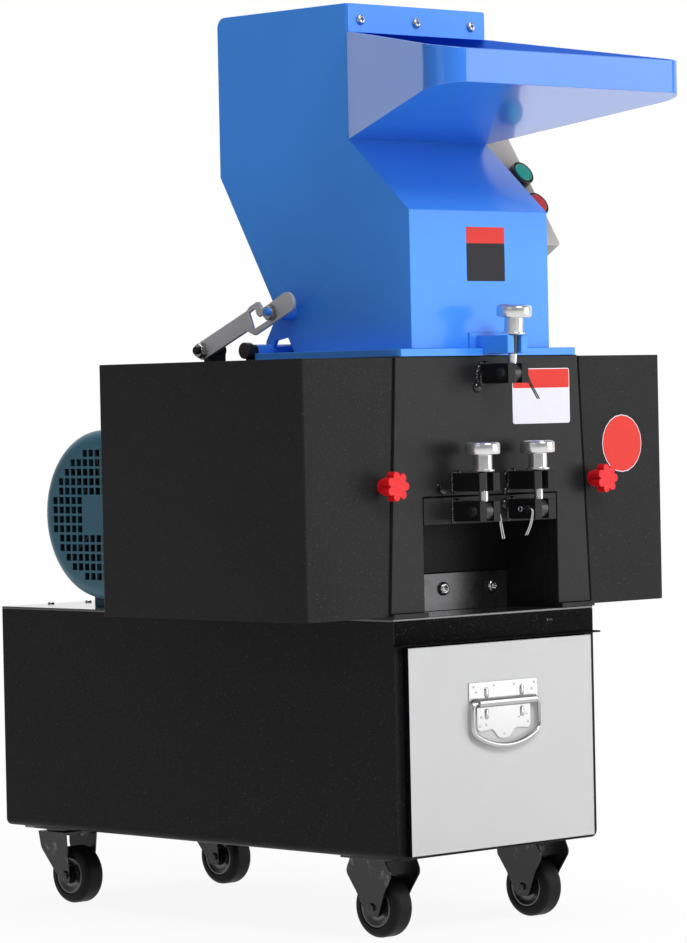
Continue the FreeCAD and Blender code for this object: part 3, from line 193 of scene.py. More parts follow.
@dataclass(frozen=True)
class Finish:
    """Paint, plate, plastic or rubber of one material slot."""

    name: str
    slot: str
    colour: tuple
    roughness: float
    grain: Grain
    metallic: float = 0.0
    coat: float = 0.0
    specular: float = 0.5
    mottle: float = 0.06
    depth: float = 0.00004
    grain_scale: float = 1200.0
    wear: Optional[tuple] = None
    wear_amount: float = 0.0

    def material(self) -> bpy.types.Material:
        """Build the material once and hand back the same one after that."""
        known = bpy.data.materials.get("finish_" + self.name)
        if known:
            return known
        made = bpy.data.materials.new("finish_" + self.name)
        made.use_nodes = True
        made.node_tree.nodes.clear()
        self._paint(Graph(made.node_tree))
        made.diffuse_color = (*self.colour, 1.0)
        return made

    def _paint(self, graph: Graph) -> None:
        """Lay out the nodes of the material."""
        place = graph.add("ShaderNodeTexCoord", None, None, "Object")
        broad = graph.noise(place, BROAD_PATCHES, 4.0, 0.55)
        smear = graph.noise(place, SMEAR_PATCHES, 3.0, 0.6)
        fine = graph.noise(place, self.grain_scale, 2.0, 0.6)
        dark = tuple(part * (1 - self.mottle) for part in self.colour)
        light = tuple(min(1.0, part * (1 + self.mottle)) for part in self.colour)
        colour = graph.blend(graph.ramp(broad, 0.3, 0.7), (*dark, 1), (*light, 1))
        roughness = self.roughness + (smear - 0.5) * (self.roughness * 0.35)
        if self.wear:
            rubbed = graph.ramp(smear * 0.6 + broad * 0.4, 0.62 - self.wear_amount, 0.72)
            colour = graph.blend(rubbed, colour, (*self.wear, 1))
        if self.grain in (Grain.POWDER, Grain.CAST, Grain.MOULDED):
            speck = graph.ramp(fine, 0.35, 0.75)
            lighter = tuple(min(1.0, part * 1.5 + 0.006) for part in self.colour)
            colour = graph.blend(speck * SPECK_SHARE, colour, (*lighter, 1))
        if self.grain is Grain.POWDER:
            dust = graph.ramp(graph.noise(place, DUST_PATCHES, 1.0, 0.5), 0.68, 0.76)
            colour = graph.blend(dust * DUST_SHARE, colour, DUST_COLOUR)
        height = fine
        if self.grain is Grain.ENAMEL:
            height = graph.noise(place, RIPPLE_PATCHES, 1.0, 0.4) * 0.7 + fine * 0.05
        if self.grain is Grain.CAST:
            height = fine * 0.6 + graph.noise(place, LUMP_PATCHES, 3.0, 0.6)
        if self.grain in (Grain.BRUSHED, Grain.MACHINED):
            roughness = roughness + (fine - 0.5) * 0.16
        bump = graph.add("ShaderNodeBump", None,
                         {"Strength": BUMP_STRENGTH, "Distance": self.depth, "Height": height})
        shader = graph.add("ShaderNodeBsdfPrincipled", None, {
            "Base Color": colour, "Roughness": roughness, "Metallic": self.metallic,
            "Coat Weight": self.coat, "Coat Roughness": COAT_ROUGHNESS, "Specular IOR Level": self.specular,
            "Normal": bump})
        graph.add("ShaderNodeOutputMaterial", None, {"Surface": shader})


FINISHES = {one.name: one for one in (
    Finish("base", "base_black", (0.0065, 0.0067, 0.0073), 0.42, Grain.POWDER, depth=0.00016,
           grain_scale=560.0, specular=0.1),
    # deck: the cabinet's black powder coat in a lighter copy, a painted highlight for the top's grazing
    # reflection; its gloss reflects for real
    Finish("deck_painted_sheen", "base_black", (0.03, 0.03, 0.031), 0.16, Grain.POWDER, coat=0.6, depth=0.00003,
           specular=0.6),
    # rail: the front rail's own deep black, also laid on as painted shade on the drawer's left fold and in
    # the gaps beside the guards
    Finish("rail", "base_black", (0.003, 0.003, 0.0033), 0.5, Grain.POWDER, specular=0.03),
    Finish("drawer", "drawer_grey", (0.57, 0.57, 0.573), 0.36, Grain.ENAMEL, mottle=0.015, specular=0.3),
    Finish("tray_steel", "tray_steel", (0.5, 0.51, 0.52), 0.38, Grain.BRUSHED, metallic=0.9),
    Finish("nickel", "handle_nickel", (0.5, 0.5, 0.498), 0.24, Grain.POLISHED, metallic=1.0,
           depth=0.000004),
    Finish("tyre", "tyre_black", (0.006, 0.006, 0.0064), 0.5, Grain.MOULDED, depth=0.00004,
           specular=0.14),
    Finish("rim", "castor_steel", (0.11, 0.11, 0.113), 0.28, Grain.BRUSHED, metallic=0.9),
    Finish("castor", "castor_steel", (0.03, 0.03, 0.032), 0.24, Grain.POWDER, metallic=0.6,
           wear=(0.3, 0.3, 0.31), wear_amount=0.06),
    Finish("body", "body_black", (0.012, 0.0122, 0.013), 0.36, Grain.POWDER, depth=0.00005,
           specular=0.16),
    Finish("forks", "body_black", (0.009, 0.0092, 0.0098), 0.33, Grain.CAST, depth=0.00012,
           grain_scale=700.0, specular=0.14),
    Finish("chute", "chute_steel", (0.009, 0.009, 0.0095), 0.4, Grain.POWDER, specular=0.1),
    Finish("bed", "chute_steel", (0.09, 0.09, 0.093), 0.26, Grain.MACHINED, metallic=0.8,
           wear=(0.02, 0.02, 0.022), wear_amount=0.12),
    Finish("guard", "guard_charcoal", (0.0145, 0.0147, 0.0153), 0.44, Grain.POWDER, depth=0.0002,
           grain_scale=560.0, specular=0.1),
    Finish("knob_red", "knob_red", (0.74, 0.01, 0.015), 0.26, Grain.MOULDED, mottle=0.03, depth=0.00002,
           specular=0.2),
    Finish("chrome", "bolt_chrome", (0.74, 0.74, 0.745), 0.22, Grain.POLISHED, metallic=0.85, mottle=0.02,
           depth=0.000003),
    Finish("shank", "bolt_chrome", (0.05, 0.05, 0.052), 0.3, Grain.CAST, metallic=0.6),
    Finish("tray", "hopper_blue", (0.035, 0.21, 0.78), 0.2, Grain.ENAMEL, mottle=0.02, coat=0.55,
           depth=0.00005, specular=0.4),
    Finish("hopper", "hopper_blue", (0.06, 0.3, 0.92), 0.24, Grain.ENAMEL, mottle=0.02, coat=0.15,
           depth=0.00006, specular=0.2),
    Finish("pin", "pin_black", (0.03, 0.03, 0.032), 0.3, Grain.CAST, metallic=0.5),
    Finish("bar", "stay_zinc", (0.6, 0.6, 0.62), 0.34, Grain.BRUSHED, metallic=0.3),
    Finish("zinc", "stay_zinc", (0.62, 0.62, 0.64), 0.3, Grain.BRUSHED, metallic=1.0),
    Finish("motor", "motor_teal", (0.032, 0.115, 0.165), 0.36, Grain.CAST, mottle=0.05, depth=0.00008,
           grain_scale=900.0, specular=0.3),
    Finish("fan", "motor_black", (0.012, 0.012, 0.013), 0.5, Grain.MOULDED),
    Finish("control", "control_grey", (0.5, 0.46, 0.41), 0.4, Grain.ENAMEL, mottle=0.02),
    Finish("bezel", "bezel_black", (0.01, 0.01, 0.011), 0.22, Grain.MOULDED),
    Finish("green", "button_green", (0.01, 0.36, 0.27), 0.25, Grain.MOULDED, coat=0.3, mottle=0.03),
    Finish("red", "button_red", (0.62, 0.03, 0.035), 0.25, Grain.MOULDED, coat=0.3, mottle=0.03),
    Finish("label_red", "knob_red", (0.68, 0.03, 0.02), 0.3, Grain.MOULDED, mottle=0.02, depth=0.000005,
           specular=0.15),
    Finish("label_white", "drawer_grey", (0.68, 0.67, 0.76), 0.32, Grain.MOULDED, mottle=0.015,
           depth=0.000005),
    Finish("label_dark", "bezel_black", (0.016, 0.015, 0.018), 0.3, Grain.MOULDED, mottle=0.02,
           depth=0.000005, specular=0.12),
    Finish("weld", "body_black", (0.008, 0.008, 0.009), 0.2, Grain.CAST, depth=0.0001),
)}


def turns(sides: int) -> list:
    """Angles of the points round a ring."""
    return [2 * math.pi * side / sides for side in range(sides)]


class Shape:
    """Gathers the mesh of one piece."""

    def __init__(self) -> None:
        """Start with an empty mesh."""
        self.bm = bmesh.new()

    def rings(self, rings: Sequence[Sequence[Vector]], close_ends: bool = True) -> "Shape":
        """Skin rings of equal count with quads.

        Args:
            rings: one list of points per ring.
            close_ends: cap the first and last ring.

        Returns:
            This shape.
        """
        rows = [[self.bm.verts.new(point) for point in ring] for ring in rings]
        count = len(rows[0])
        for low, high in zip(rows, rows[1:]):
            for index in range(count):
                after = (index + 1) % count
                self.bm.faces.new((low[index], low[after], high[after], high[index]))
        if close_ends:
            self.bm.faces.new(list(reversed(rows[0])))
            self.bm.faces.new(rows[-1])
        return self

    def lathe(self, profile: Sequence[tuple], centre: Vector, axis: Vector, sides: int = 48,
              closed: bool = False) -> "Shape":
        """Turn a profile round an axis.

        Args:
            profile: (distance along the axis, radius) pairs in metres.
            centre: where distance 0 lies.
            axis: direction of the axis.
            sides: points round each ring.
            closed: join the profile's end to its start.

        Returns:
            This shape.
        """
        turn = axis.normalized().to_track_quat("Z", "Y").to_matrix()
        rings = [[centre + turn @ Vector((radius * math.cos(a), radius * math.sin(a), along))
                  for a in turns(sides)] for along, radius in profile]
        if closed:
            rings.append(rings[0])
        return self.rings(rings, not closed)

    def tube(self, path: Sequence[Vector], radius: float, sides: int = 12, closed: bool = False) -> "Shape":
        """Sweep a round section along points.

        Args:
            path: the points of the centre line.
            radius: of the section.
            sides: points round it.
            closed: join the end to the start.

        Returns:
            This shape.
        """
        count = len(path)
        rings = []
        side_way = None
        for index, point in enumerate(path):
            before = path[(index - 1) % count] if closed or index else point
            after = path[(index + 1) % count] if closed or index < count - 1 else point
            along = (after - before).normalized()
            if side_way is None:
                side_way = along.orthogonal().normalized()
            side_way = (side_way - along * side_way.dot(along)).normalized()
            up = along.cross(side_way)
            rings.append([point + (side_way * math.cos(a) + up * math.sin(a)) * radius for a in turns(sides)])
        if closed:
            rings.append(rings[0])
        return self.rings(rings, not closed)

    def plate(self, outline: Sequence[Vector], depth: Vector) -> "Shape":
        """Extrude a flat outline by a vector."""
        return self.rings([list(outline), [point + depth for point in outline]])

    def mesh(self, name: str, smooth: bool = True) -> bpy.types.Mesh:
        """Clean the gathered mesh and hand it over.

        Args:
            name: of the mesh.
            smooth: shade faces smoothly.

        Returns:
            The mesh, with its faces pointing outwards.
        """
        bmesh.ops.remove_doubles(self.bm, verts=self.bm.verts, dist=1e-7)
        bmesh.ops.recalc_face_normals(self.bm, faces=self.bm.faces)
        made = bpy.data.meshes.new(name)
        self.bm.to_mesh(made)
        self.bm.free()
        for polygon in made.polygons:
            polygon.use_smooth = smooth
        return made


def round_rectangle(width: float, height: float, radius: float, steps: int = 5) -> list:
    """Outline of a rectangle with rounded corners, in its own plane.

    Args:
        width: along the first axis.
        height: along the second axis.
        radius: of the corners.
        steps: points per corner.

    Returns:
        Pairs about the middle.
    """
    points = []
    for corner, (sx, sy) in enumerate(((1, 1), (-1, 1), (-1, -1), (1, -1))):
        for step in range(steps + 1):
            angle = math.pi / 2 * (corner + step / steps)
            points.append((sx * (width / 2 - radius) + radius * math.cos(angle),
                           sy * (height / 2 - radius) + radius * math.sin(angle)))
    return points


def eased(points: Sequence[Vector], rounds: int = 2) -> list:
    """Cut the corners of a path, keeping its ends.

    Args:
        points: of the path.
        rounds: of cutting.

    Returns:
        The softer path.
    """
    path = list(points)
    for _ in range(rounds):
        cut = [path[0]]
        for start, end in zip(path, path[1:]):
            cut += [start.lerp(end, 0.25), start.lerp(end, 0.75)]
        path = cut + [path[-1]]
    return path


def hexagon(angle: float, radius: float) -> float:
    """Reach of a hexagon whose flats lie at a radius."""
    return radius / math.cos((angle % (math.pi / 3)) - math.pi / 6)


class Fitter:
    """Turns meshes into finished pieces that ride on their bodies."""

    def baked(self, made: bpy.types.Object) -> None:
        """Replace a piece's modifiers by their result."""
        graph = bpy.context.evaluated_depsgraph_get()
        result = bpy.data.meshes.new_from_object(made.evaluated_get(graph), preserve_all_data_layers=True,
                                                 depsgraph=graph)
        made.modifiers.clear()
        made.data = result

    def fit(self, name: str, mesh: bpy.types.Mesh, look: Finish, body: str,
            replaces: Sequence[str] = (), round_by: float = 0.0, segments: int = 2,
            angle: float = 30.0) -> bpy.types.Object:
        """Finish a mesh as a piece of the machine.

        Args:
            name: of the piece.
            mesh: its shape, in the row frame.
            look: its finish.
            body: the body it rides on.
            replaces: CAD nodes it stands for.
            round_by: width of the rounding on sharp edges, in metres.
            segments: of the rounding.
            angle: edges sharper than this, in degrees, are rounded.

        Returns:
            The piece.
        """
        made = bpy.data.objects.new(name, mesh)
        bpy.context.scene.collection.objects.link(made)
        if round_by:
            bevel = made.modifiers.new("rounding", "BEVEL")
            bevel.width = round_by
            bevel.segments = segments
            bevel.limit_method = "ANGLE"
            bevel.angle_limit = math.radians(angle)
            bevel.harden_normals = True
            bevel.use_clamp_overlap = True
            bpy.context.view_layer.update()
            self.baked(made)
        made.data.materials.clear()
        made.data.materials.append(look.material())
        for polygon in made.data.polygons:
            polygon.material_index = 0
        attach(made, body)
        if replaces:
            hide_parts(*replaces)
        log.info("piece %s on %s, %d faces", name, body, len(made.data.polygons))
        return made

    def skin(self, node: str, look: Finish, round_by: float = 0.0006, segments: int = 2,
             angle: float = 28.0, name: str = "", keep: Optional[Callable[[Vector], bool]] = None
             ) -> bpy.types.Object:
        """Stand a rounded copy of a CAD node in its place.

        Args:
            node: the CAD node.
            look: its finish.
            round_by: width of the rounding, in metres.
            segments: of the rounding.
            angle: edges sharper than this, in degrees, are rounded.
            name: of the piece, where a node is dressed in several.
            keep: tells by its middle whether a face belongs to this piece.

        Returns:
            The piece.
        """
        source = frame["nodes"][node]
        name = name or node + "_dressed"
        copy = bmesh.new()
        copy.from_mesh(source.data)
        if keep:
            gone = [face for face in copy.faces if not keep(source.matrix_world @ face.calc_center_median())]
            bmesh.ops.delete(copy, geom=gone, context="FACES")
        bmesh.ops.remove_doubles(copy, verts=copy.verts, dist=2e-6)
        bmesh.ops.dissolve_degenerate(copy, dist=1e-6, edges=copy.edges)
        bmesh.ops.dissolve_limit(copy, angle_limit=math.radians(0.4), verts=copy.verts, edges=copy.edges)
        mesh = bpy.data.meshes.new(name)
        copy.to_mesh(mesh)
        copy.free()
        for polygon in mesh.polygons:
            polygon.use_smooth = True
        mesh.set_sharp_from_angle(angle=math.radians(angle))
        return self.fit(name, mesh, look, source["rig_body"], (node,), round_by, segments, angle)


UNEVEN_SEED = 7


class Repeater:
    """Geometry Nodes tree that stands one small part on many places."""

    def __init__(self, name: str, template: bpy.types.Mesh, look: Finish) -> None:
        """Build the tree for a template and its finish."""
        self.name = name
        self.look = look
        self.template = bpy.data.objects.new(name + "_template", template)
        bpy.context.scene.collection.objects.link(self.template)
        self.tree = bpy.data.node_groups.new(name, "GeometryNodeTree")
        face = self.tree.interface
        face.new_socket("Places", in_out="INPUT", socket_type="NodeSocketGeometry")
        number = "NodeSocketFloat"
        self.scale_input = face.new_socket("Scale", in_out="INPUT", socket_type=number).identifier
        self.spread_input = face.new_socket("Uneven", in_out="INPUT", socket_type=number).identifier
        face.new_socket("Parts", in_out="OUTPUT", socket_type="NodeSocketGeometry")
        graph = Graph(self.tree)
        given = self.tree.nodes.new("NodeGroupInput")
        part = graph.add("GeometryNodeObjectInfo", None, {"Object": self.template}, "Geometry")
        facing, along = (graph.add("GeometryNodeInputNamedAttribute", {"data_type": "FLOAT_VECTOR"},
                                   {"Name": name}) for name in ("facing", "along"))
        turn = graph.add("FunctionNodeAlignRotationToVector", {"axis": "Z"}, {"Vector": facing})
        turn = graph.add("FunctionNodeAlignRotationToVector", {"axis": "X", "pivot_axis": "Z"},
                         {"Rotation": turn, "Vector": along})
        uneven = Value(graph, given.outputs[2])
        least = graph.add("ShaderNodeMath", {"operation": "SUBTRACT"}, {0: 1.0, 1: uneven})
        most = graph.add("ShaderNodeMath", {"operation": "ADD"}, {0: 1.0, 1: uneven})
        wobble = graph.add("FunctionNodeRandomValue", {"data_type": "FLOAT"},
                           {2: least, 3: most, "Seed": UNEVEN_SEED}, 1)
        size = graph.add("ShaderNodeMath", {"operation": "MULTIPLY"},
                         {0: Value(graph, given.outputs[1]), 1: wobble})
        placed = graph.add("GeometryNodeInstanceOnPoints", None, {
            "Points": Value(graph, given.outputs[0]), "Instance": part, "Rotation": turn, "Scale": size})
        real = graph.add("GeometryNodeRealizeInstances", None, {"Geometry": placed})
        dressed = graph.add("GeometryNodeSetMaterial", None, {"Geometry": real, "Material": look.material()})
        last = self.tree.nodes.new("NodeGroupOutput")
        self.tree.links.new(dressed.socket, last.inputs[0])

    def place(self, name: str, places: Sequence[tuple], body: str, fitter: Fitter,
              scale: float = 1.0, uneven: float = 0.0) -> bpy.types.Object:
        """Stand the part on places and hand back one plain piece.

        Args:
            name: of the piece.
            places: (point, outward direction, direction of its X) for each copy.
            body: the body it rides on.
            fitter: makes the piece.
            scale: of each copy.
            uneven: share by which copies differ in size.

        Returns:
            The piece.
        """
        mesh = bpy.data.meshes.new(name + "_places")
        mesh.from_pydata([tuple(point) for point, _, _ in places], [], [])
        for attribute, column in (("facing", 1), ("along", 2)):
            layer = mesh.attributes.new(attribute, "FLOAT_VECTOR", "POINT")
            for index, place in enumerate(places):
                layer.data[index].vector = place[column]
        holder = bpy.data.objects.new(name + "_holder", mesh)
        bpy.context.scene.collection.objects.link(holder)
        modifier = holder.modifiers.new("repeat", "NODES")
        modifier.node_group = self.tree
        modifier[self.scale_input] = float(scale)
        modifier[self.spread_input] = float(uneven)
        bpy.context.view_layer.update()
        graph = bpy.context.evaluated_depsgraph_get()
        result = bpy.data.meshes.new_from_object(holder.evaluated_get(graph), depsgraph=graph)
        for attribute in ("facing", "along"):
            if attribute in result.attributes:
                result.attributes.remove(result.attributes[attribute])
        bpy.data.objects.remove(holder)
        return fitter.fit(name, result, self.look, body)

    def close(self) -> None:
        """Remove the template once every place is served."""
        bpy.data.objects.remove(self.template)


class FastenerBox:
    """Templates of the screws, nuts, rivets and weld beads."""

    def socket_screw(self, radius: float, height: float) -> bpy.types.Mesh:
        """Domed head with a hexagon recess."""
        key = radius * 0.42

        def ring(reach: Callable[[float], float], z: float) -> list:
            """One ring of points at a height."""
            return [Vector((reach(a) * math.cos(a), reach(a) * math.sin(a), z)) for a in turns(36)]

        rounds = [(radius, -0.0003), (radius, height * 0.3), (radius * 0.93, height * 0.62),
                  (radius * 0.76, height * 0.88), (radius * 0.58, height)]
        rings = [ring(lambda a, r=r: r, z) for r, z in rounds]
        rings.append(ring(lambda a: hexagon(a, key), height))
        rings.append(ring(lambda a: hexagon(a, key * 0.97), height * 0.35))
        return Shape().rings(rings).mesh("socket_screw")

    def hex_bolt(self, flat: float, height: float, washer: float = 0.0) -> bpy.types.Mesh:
        """Hexagon head or nut with a chamfered top, with or without a washer."""
        shape = Shape()
        base = 0.0
        if washer:
            base = height * 0.22
            shape.lathe([(-0.0003, washer), (base * 0.8, washer), (base, washer * 0.97)],
                        Vector(), Vector((0, 0, 1)), 36)
        rings = []
        for z, reach, corner in ((base - 0.0002, flat, True), (base + height * 0.86, flat, True),
                                 (base + height, flat * 0.97, False)):
            ring = []
            for a in turns(36):
                out = hexagon(a, reach) if corner else reach
                ring.append(Vector((out * math.cos(a), out * math.sin(a), z)))
            rings.append(ring)
        shape.rings(rings)
        return shape.mesh("hex_bolt", smooth=False)

    def rivet(self, radius: float, height: float) -> bpy.types.Mesh:
        """Low domed rivet head."""
        steps = 5
        profile = [(-0.0002, radius)] + [
            (height * math.sin(math.pi / 2 * step / steps),
             radius * max(0.06, math.cos(math.pi / 2 * step / steps)))
            for step in range(steps + 1)]
        return Shape().lathe(profile, Vector(), Vector((0, 0, 1)), 20).mesh("rivet")

    def bead(self, radius: float) -> bpy.types.Mesh:
        """One ripple of a weld: a flattened drop."""
        steps = 6
        profile = [(-radius * 0.5, radius * 0.7)] + [
            (radius * 0.62 * math.sin(math.pi / 2 * step / steps),
             radius * max(0.08, math.cos(math.pi / 2 * step / steps))) for step in range(steps + 1)]
        return Shape().lathe(profile, Vector(), Vector((0, 0, 1)), 14).mesh("bead")


X = Vector((1, 0, 0))
Y = Vector((0, 1, 0))
Z = Vector((0, 0, 1))
OUT = -Y


@dataclass
class Dresser:
    """What every sub-assembly shares: the fitter and the boxes of repeated parts."""

    fitter: Fitter
    screws: Repeater
    bolts: Repeater
    rivets: Repeater
    beads: Repeater
    nuts: Repeater
    axles: Repeater

    def look(self, name: str) -> Finish:
        """Finish by name."""
        return FINISHES[name]

    def skins(self, nodes: Iterable[str], name: str, round_by: float = 0.0006) -> None:
        """Dress several CAD nodes in one finish."""
        for node in nodes:
            self.fitter.skin(node, self.look(name), round_by)

    def label(self, name: str, centre: Vector, width: float, height: float, out: Vector, up: Vector,
              look: str, body: str = "machine", radius: float = 0.001) -> None:
        """Thin blank label plate.

        Args:
            name: of the piece.
            centre: middle of the face it lies on.
            width: across.
            height: along up.
            out: outward direction.
            up: direction of its height.
            look: name of its finish.
            body: the body it rides on.
            radius: of its corners.
        """
        across = up.cross(out).normalized()
        outline = [centre + across * a + up.normalized() * b - out * 0.0001
                   for a, b in round_rectangle(width, height, radius)]
        self.fitter.fit(name, Shape().plate(outline, out.normalized() * 0.00035).mesh(name, False),
                        self.look(look), body)

    def weld(self, name: str, corners: Sequence[Vector], facing: Vector, pitch: float, body: str = "machine",
             scale: float = 1.0) -> None:
        """Row of weld ripples along straight runs.

        Args:
            name: of the piece.
            corners: ends of the runs.
            facing: outward direction.
            pitch: from ripple to ripple.
            body: the body it rides on.
            scale: of the ripples.
        """
        places = []
        for start, end in zip(corners, corners[1:]):
            count = max(1, round((end - start).length / pitch))
            for step in range(count):
                places.append((start.lerp(end, step / count), facing, (end - start).normalized()))
        self.beads.place(name, places, body, self.fitter, scale, 0.22)


@dataclass
class BaseCabinet(Dresser):
    """Cabinet, its top, front rail and the drawer with its chest handle."""

    # x of the drawer front's left fold; faces left of it carry painted shade
    fold_edge: float = -144.4
    handle_face: float = -10.5
    rivet_places: tuple = (
        (-36, 240), (-38, 230), (-28, 231), (36, 240), (38, 231), (24, 237), (0, 220),
        (-47, 274), (-43, 268), (-15, 274), (17, 274), (45, 267), (49, 274))
    rib_places: tuple = (-27.0, 29.0)
    rib_spans: tuple = ((261, 273), (237, 249))
    rib_root: float = -10.2
    rib_width: float = 6.0
    rib_corner: float = 2.9
    # share of the width, share of the height, distance from the root
    rib_steps: tuple = ((1.0, 1.0, 0.0), (0.86, 0.94, 1.15), (0.55, 0.82, 1.6))
    deck_screw_places: tuple = ((-91, 663, 354), (-43, 650, 354))
    slot_x: float = 87.0
    slot_z: float = 341.0

    def dress(self) -> None:
        """Finish the cabinet and the drawer."""
        self.fitter.skin("base_cabinet", self.look("base"), 0.0008)
        # painted highlight: the top wears the lighter copy of the black powder coat
        self.fitter.skin("base_top", self.look("deck_painted_sheen"), 0.0008)
        self.fitter.skin("front_rail", self.look("rail"), 0.0008)
        fold = at(self.fold_edge, 0, 0).x
        self.fitter.skin("drawer_front", self.look("drawer"), 0.0012, 3, keep=lambda point: point.x > fold)
        # painted shade: the drawer front's left fold gets the rail's black, standing for the shadow it lies
        # in
        self.fitter.skin("drawer_front", self.look("rail"), 0.0004, name="drawer_fold",
                         keep=lambda point: point.x <= fold)
        self.fitter.skin("drawer_tray", self.look("tray_steel"), 0.0004)
        self.fitter.skin("handle_plate", self.look("nickel"), 0.0004)
        self.fitter.skin("handle_bail", self.look("nickel"), 0.0)
        self.handle_details()
        top = [(at(*place), Z, X) for place in self.deck_screw_places]
        self.screws.place("deck_screws", top, "machine", self.fitter, 0.8)
        # the black slot plate is painted shade for the slot's dark opening; the grey ring round it is its rim
        for name, front, size, corner, depth, look in (
                ("rail_slot_rim", -0.15, (9, 4), 1.9, 0.0002, "rim"),
                ("rail_slot", -0.2, (7, 2), 0.9, 0.0003, "fan")):
            slot = [at(self.slot_x + a, front, self.slot_z + b) for a, b in round_rectangle(*size, corner)]
            self.fitter.fit(name, Shape().plate(slot, OUT * depth).mesh(name), self.look(look), "machine")

    def handle_details(self) -> None:
        """Rivets and pressed ribs of the handle plate."""
        places = [(at(x, self.handle_face, z), OUT, X) for x, z in self.rivet_places]
        self.rivets.place("handle_rivets", places, "drawer", self.fitter, 0.8)
        shape = Shape()
        for x in self.rib_places:
            for low, high in self.rib_spans:
                flat = round_rectangle(self.rib_width, high - low, self.rib_corner)
                middle = (low + high) / 2
                shape.rings([[at(x + a * wide, self.rib_root - out, middle + b * tall) for a, b in flat]
                             for wide, tall, out in self.rib_steps])
        self.fitter.fit("handle_ribs", shape.mesh("handle_ribs"), self.look("nickel"), "drawer")


@dataclass
class Castors(Dresser):
    """Brackets, forks and wheels."""

    track: float = 119.0
    front: float = 64.0
    rear: float = 614.0
    trail: float = 24.0
    radius: float = 34.0
    hub_face: float = 0.0105
    nut_out: float = 18.4
    # distance from the hub's face, radius
    rim_profile: tuple = ((-0.001, 0.0088), (0.0012, 0.0088), (0.0004, 0.012), (0.0004, 0.0178),
                          (0.0022, 0.0198), (0.003, 0.0222), (0.0006, 0.0227), (-0.001, 0.0223))

    def dress(self) -> None:
        """Finish the castors."""
        self.skins(("front_castor_brackets", "rear_castor_plates", "castor_fork_left", "castor_fork_right"),
                   "castor", 0.0005)
        for side, sign in (("left", -1), ("right", 1)):
            for end, behind, carrier in (("front", self.front, "machine"),
                                         ("rear", self.rear - self.trail, f"rear_{side}_swivel")):
                self.fitter.skin(f"wheel_{end}_{side}", self.look("tyre"), 0.0003)
                self.wheel_details(f"{end}_{side}", sign * self.track, behind, carrier)

    def wheel_details(self, name: str, x: float, behind: float, carrier: str) -> None:
        """Rim discs with their ring, and the nuts on the axle.

        Args:
            name: which castor.
            x: its middle.
            behind: its axle behind the front face.
            carrier: body of its fork.
        """
        shape = Shape()
        for sign in (-1, 1):
            centre = at(x, behind, self.radius)
            profile = [(self.hub_face + out, radius) for out, radius in self.rim_profile]
            shape.lathe(profile, centre, X * sign, 48, closed=True)
        self.fitter.fit(f"rim_{name}", shape.mesh(f"rim_{name}"), self.look("rim"), f"{name}_wheel")
        nuts = [(at(x + sign * self.nut_out, behind, self.radius), X * sign, Z) for sign in (-1, 1)]
        self.axles.place(f"axle_nuts_{name}", nuts, carrier, self.fitter, 0.7)


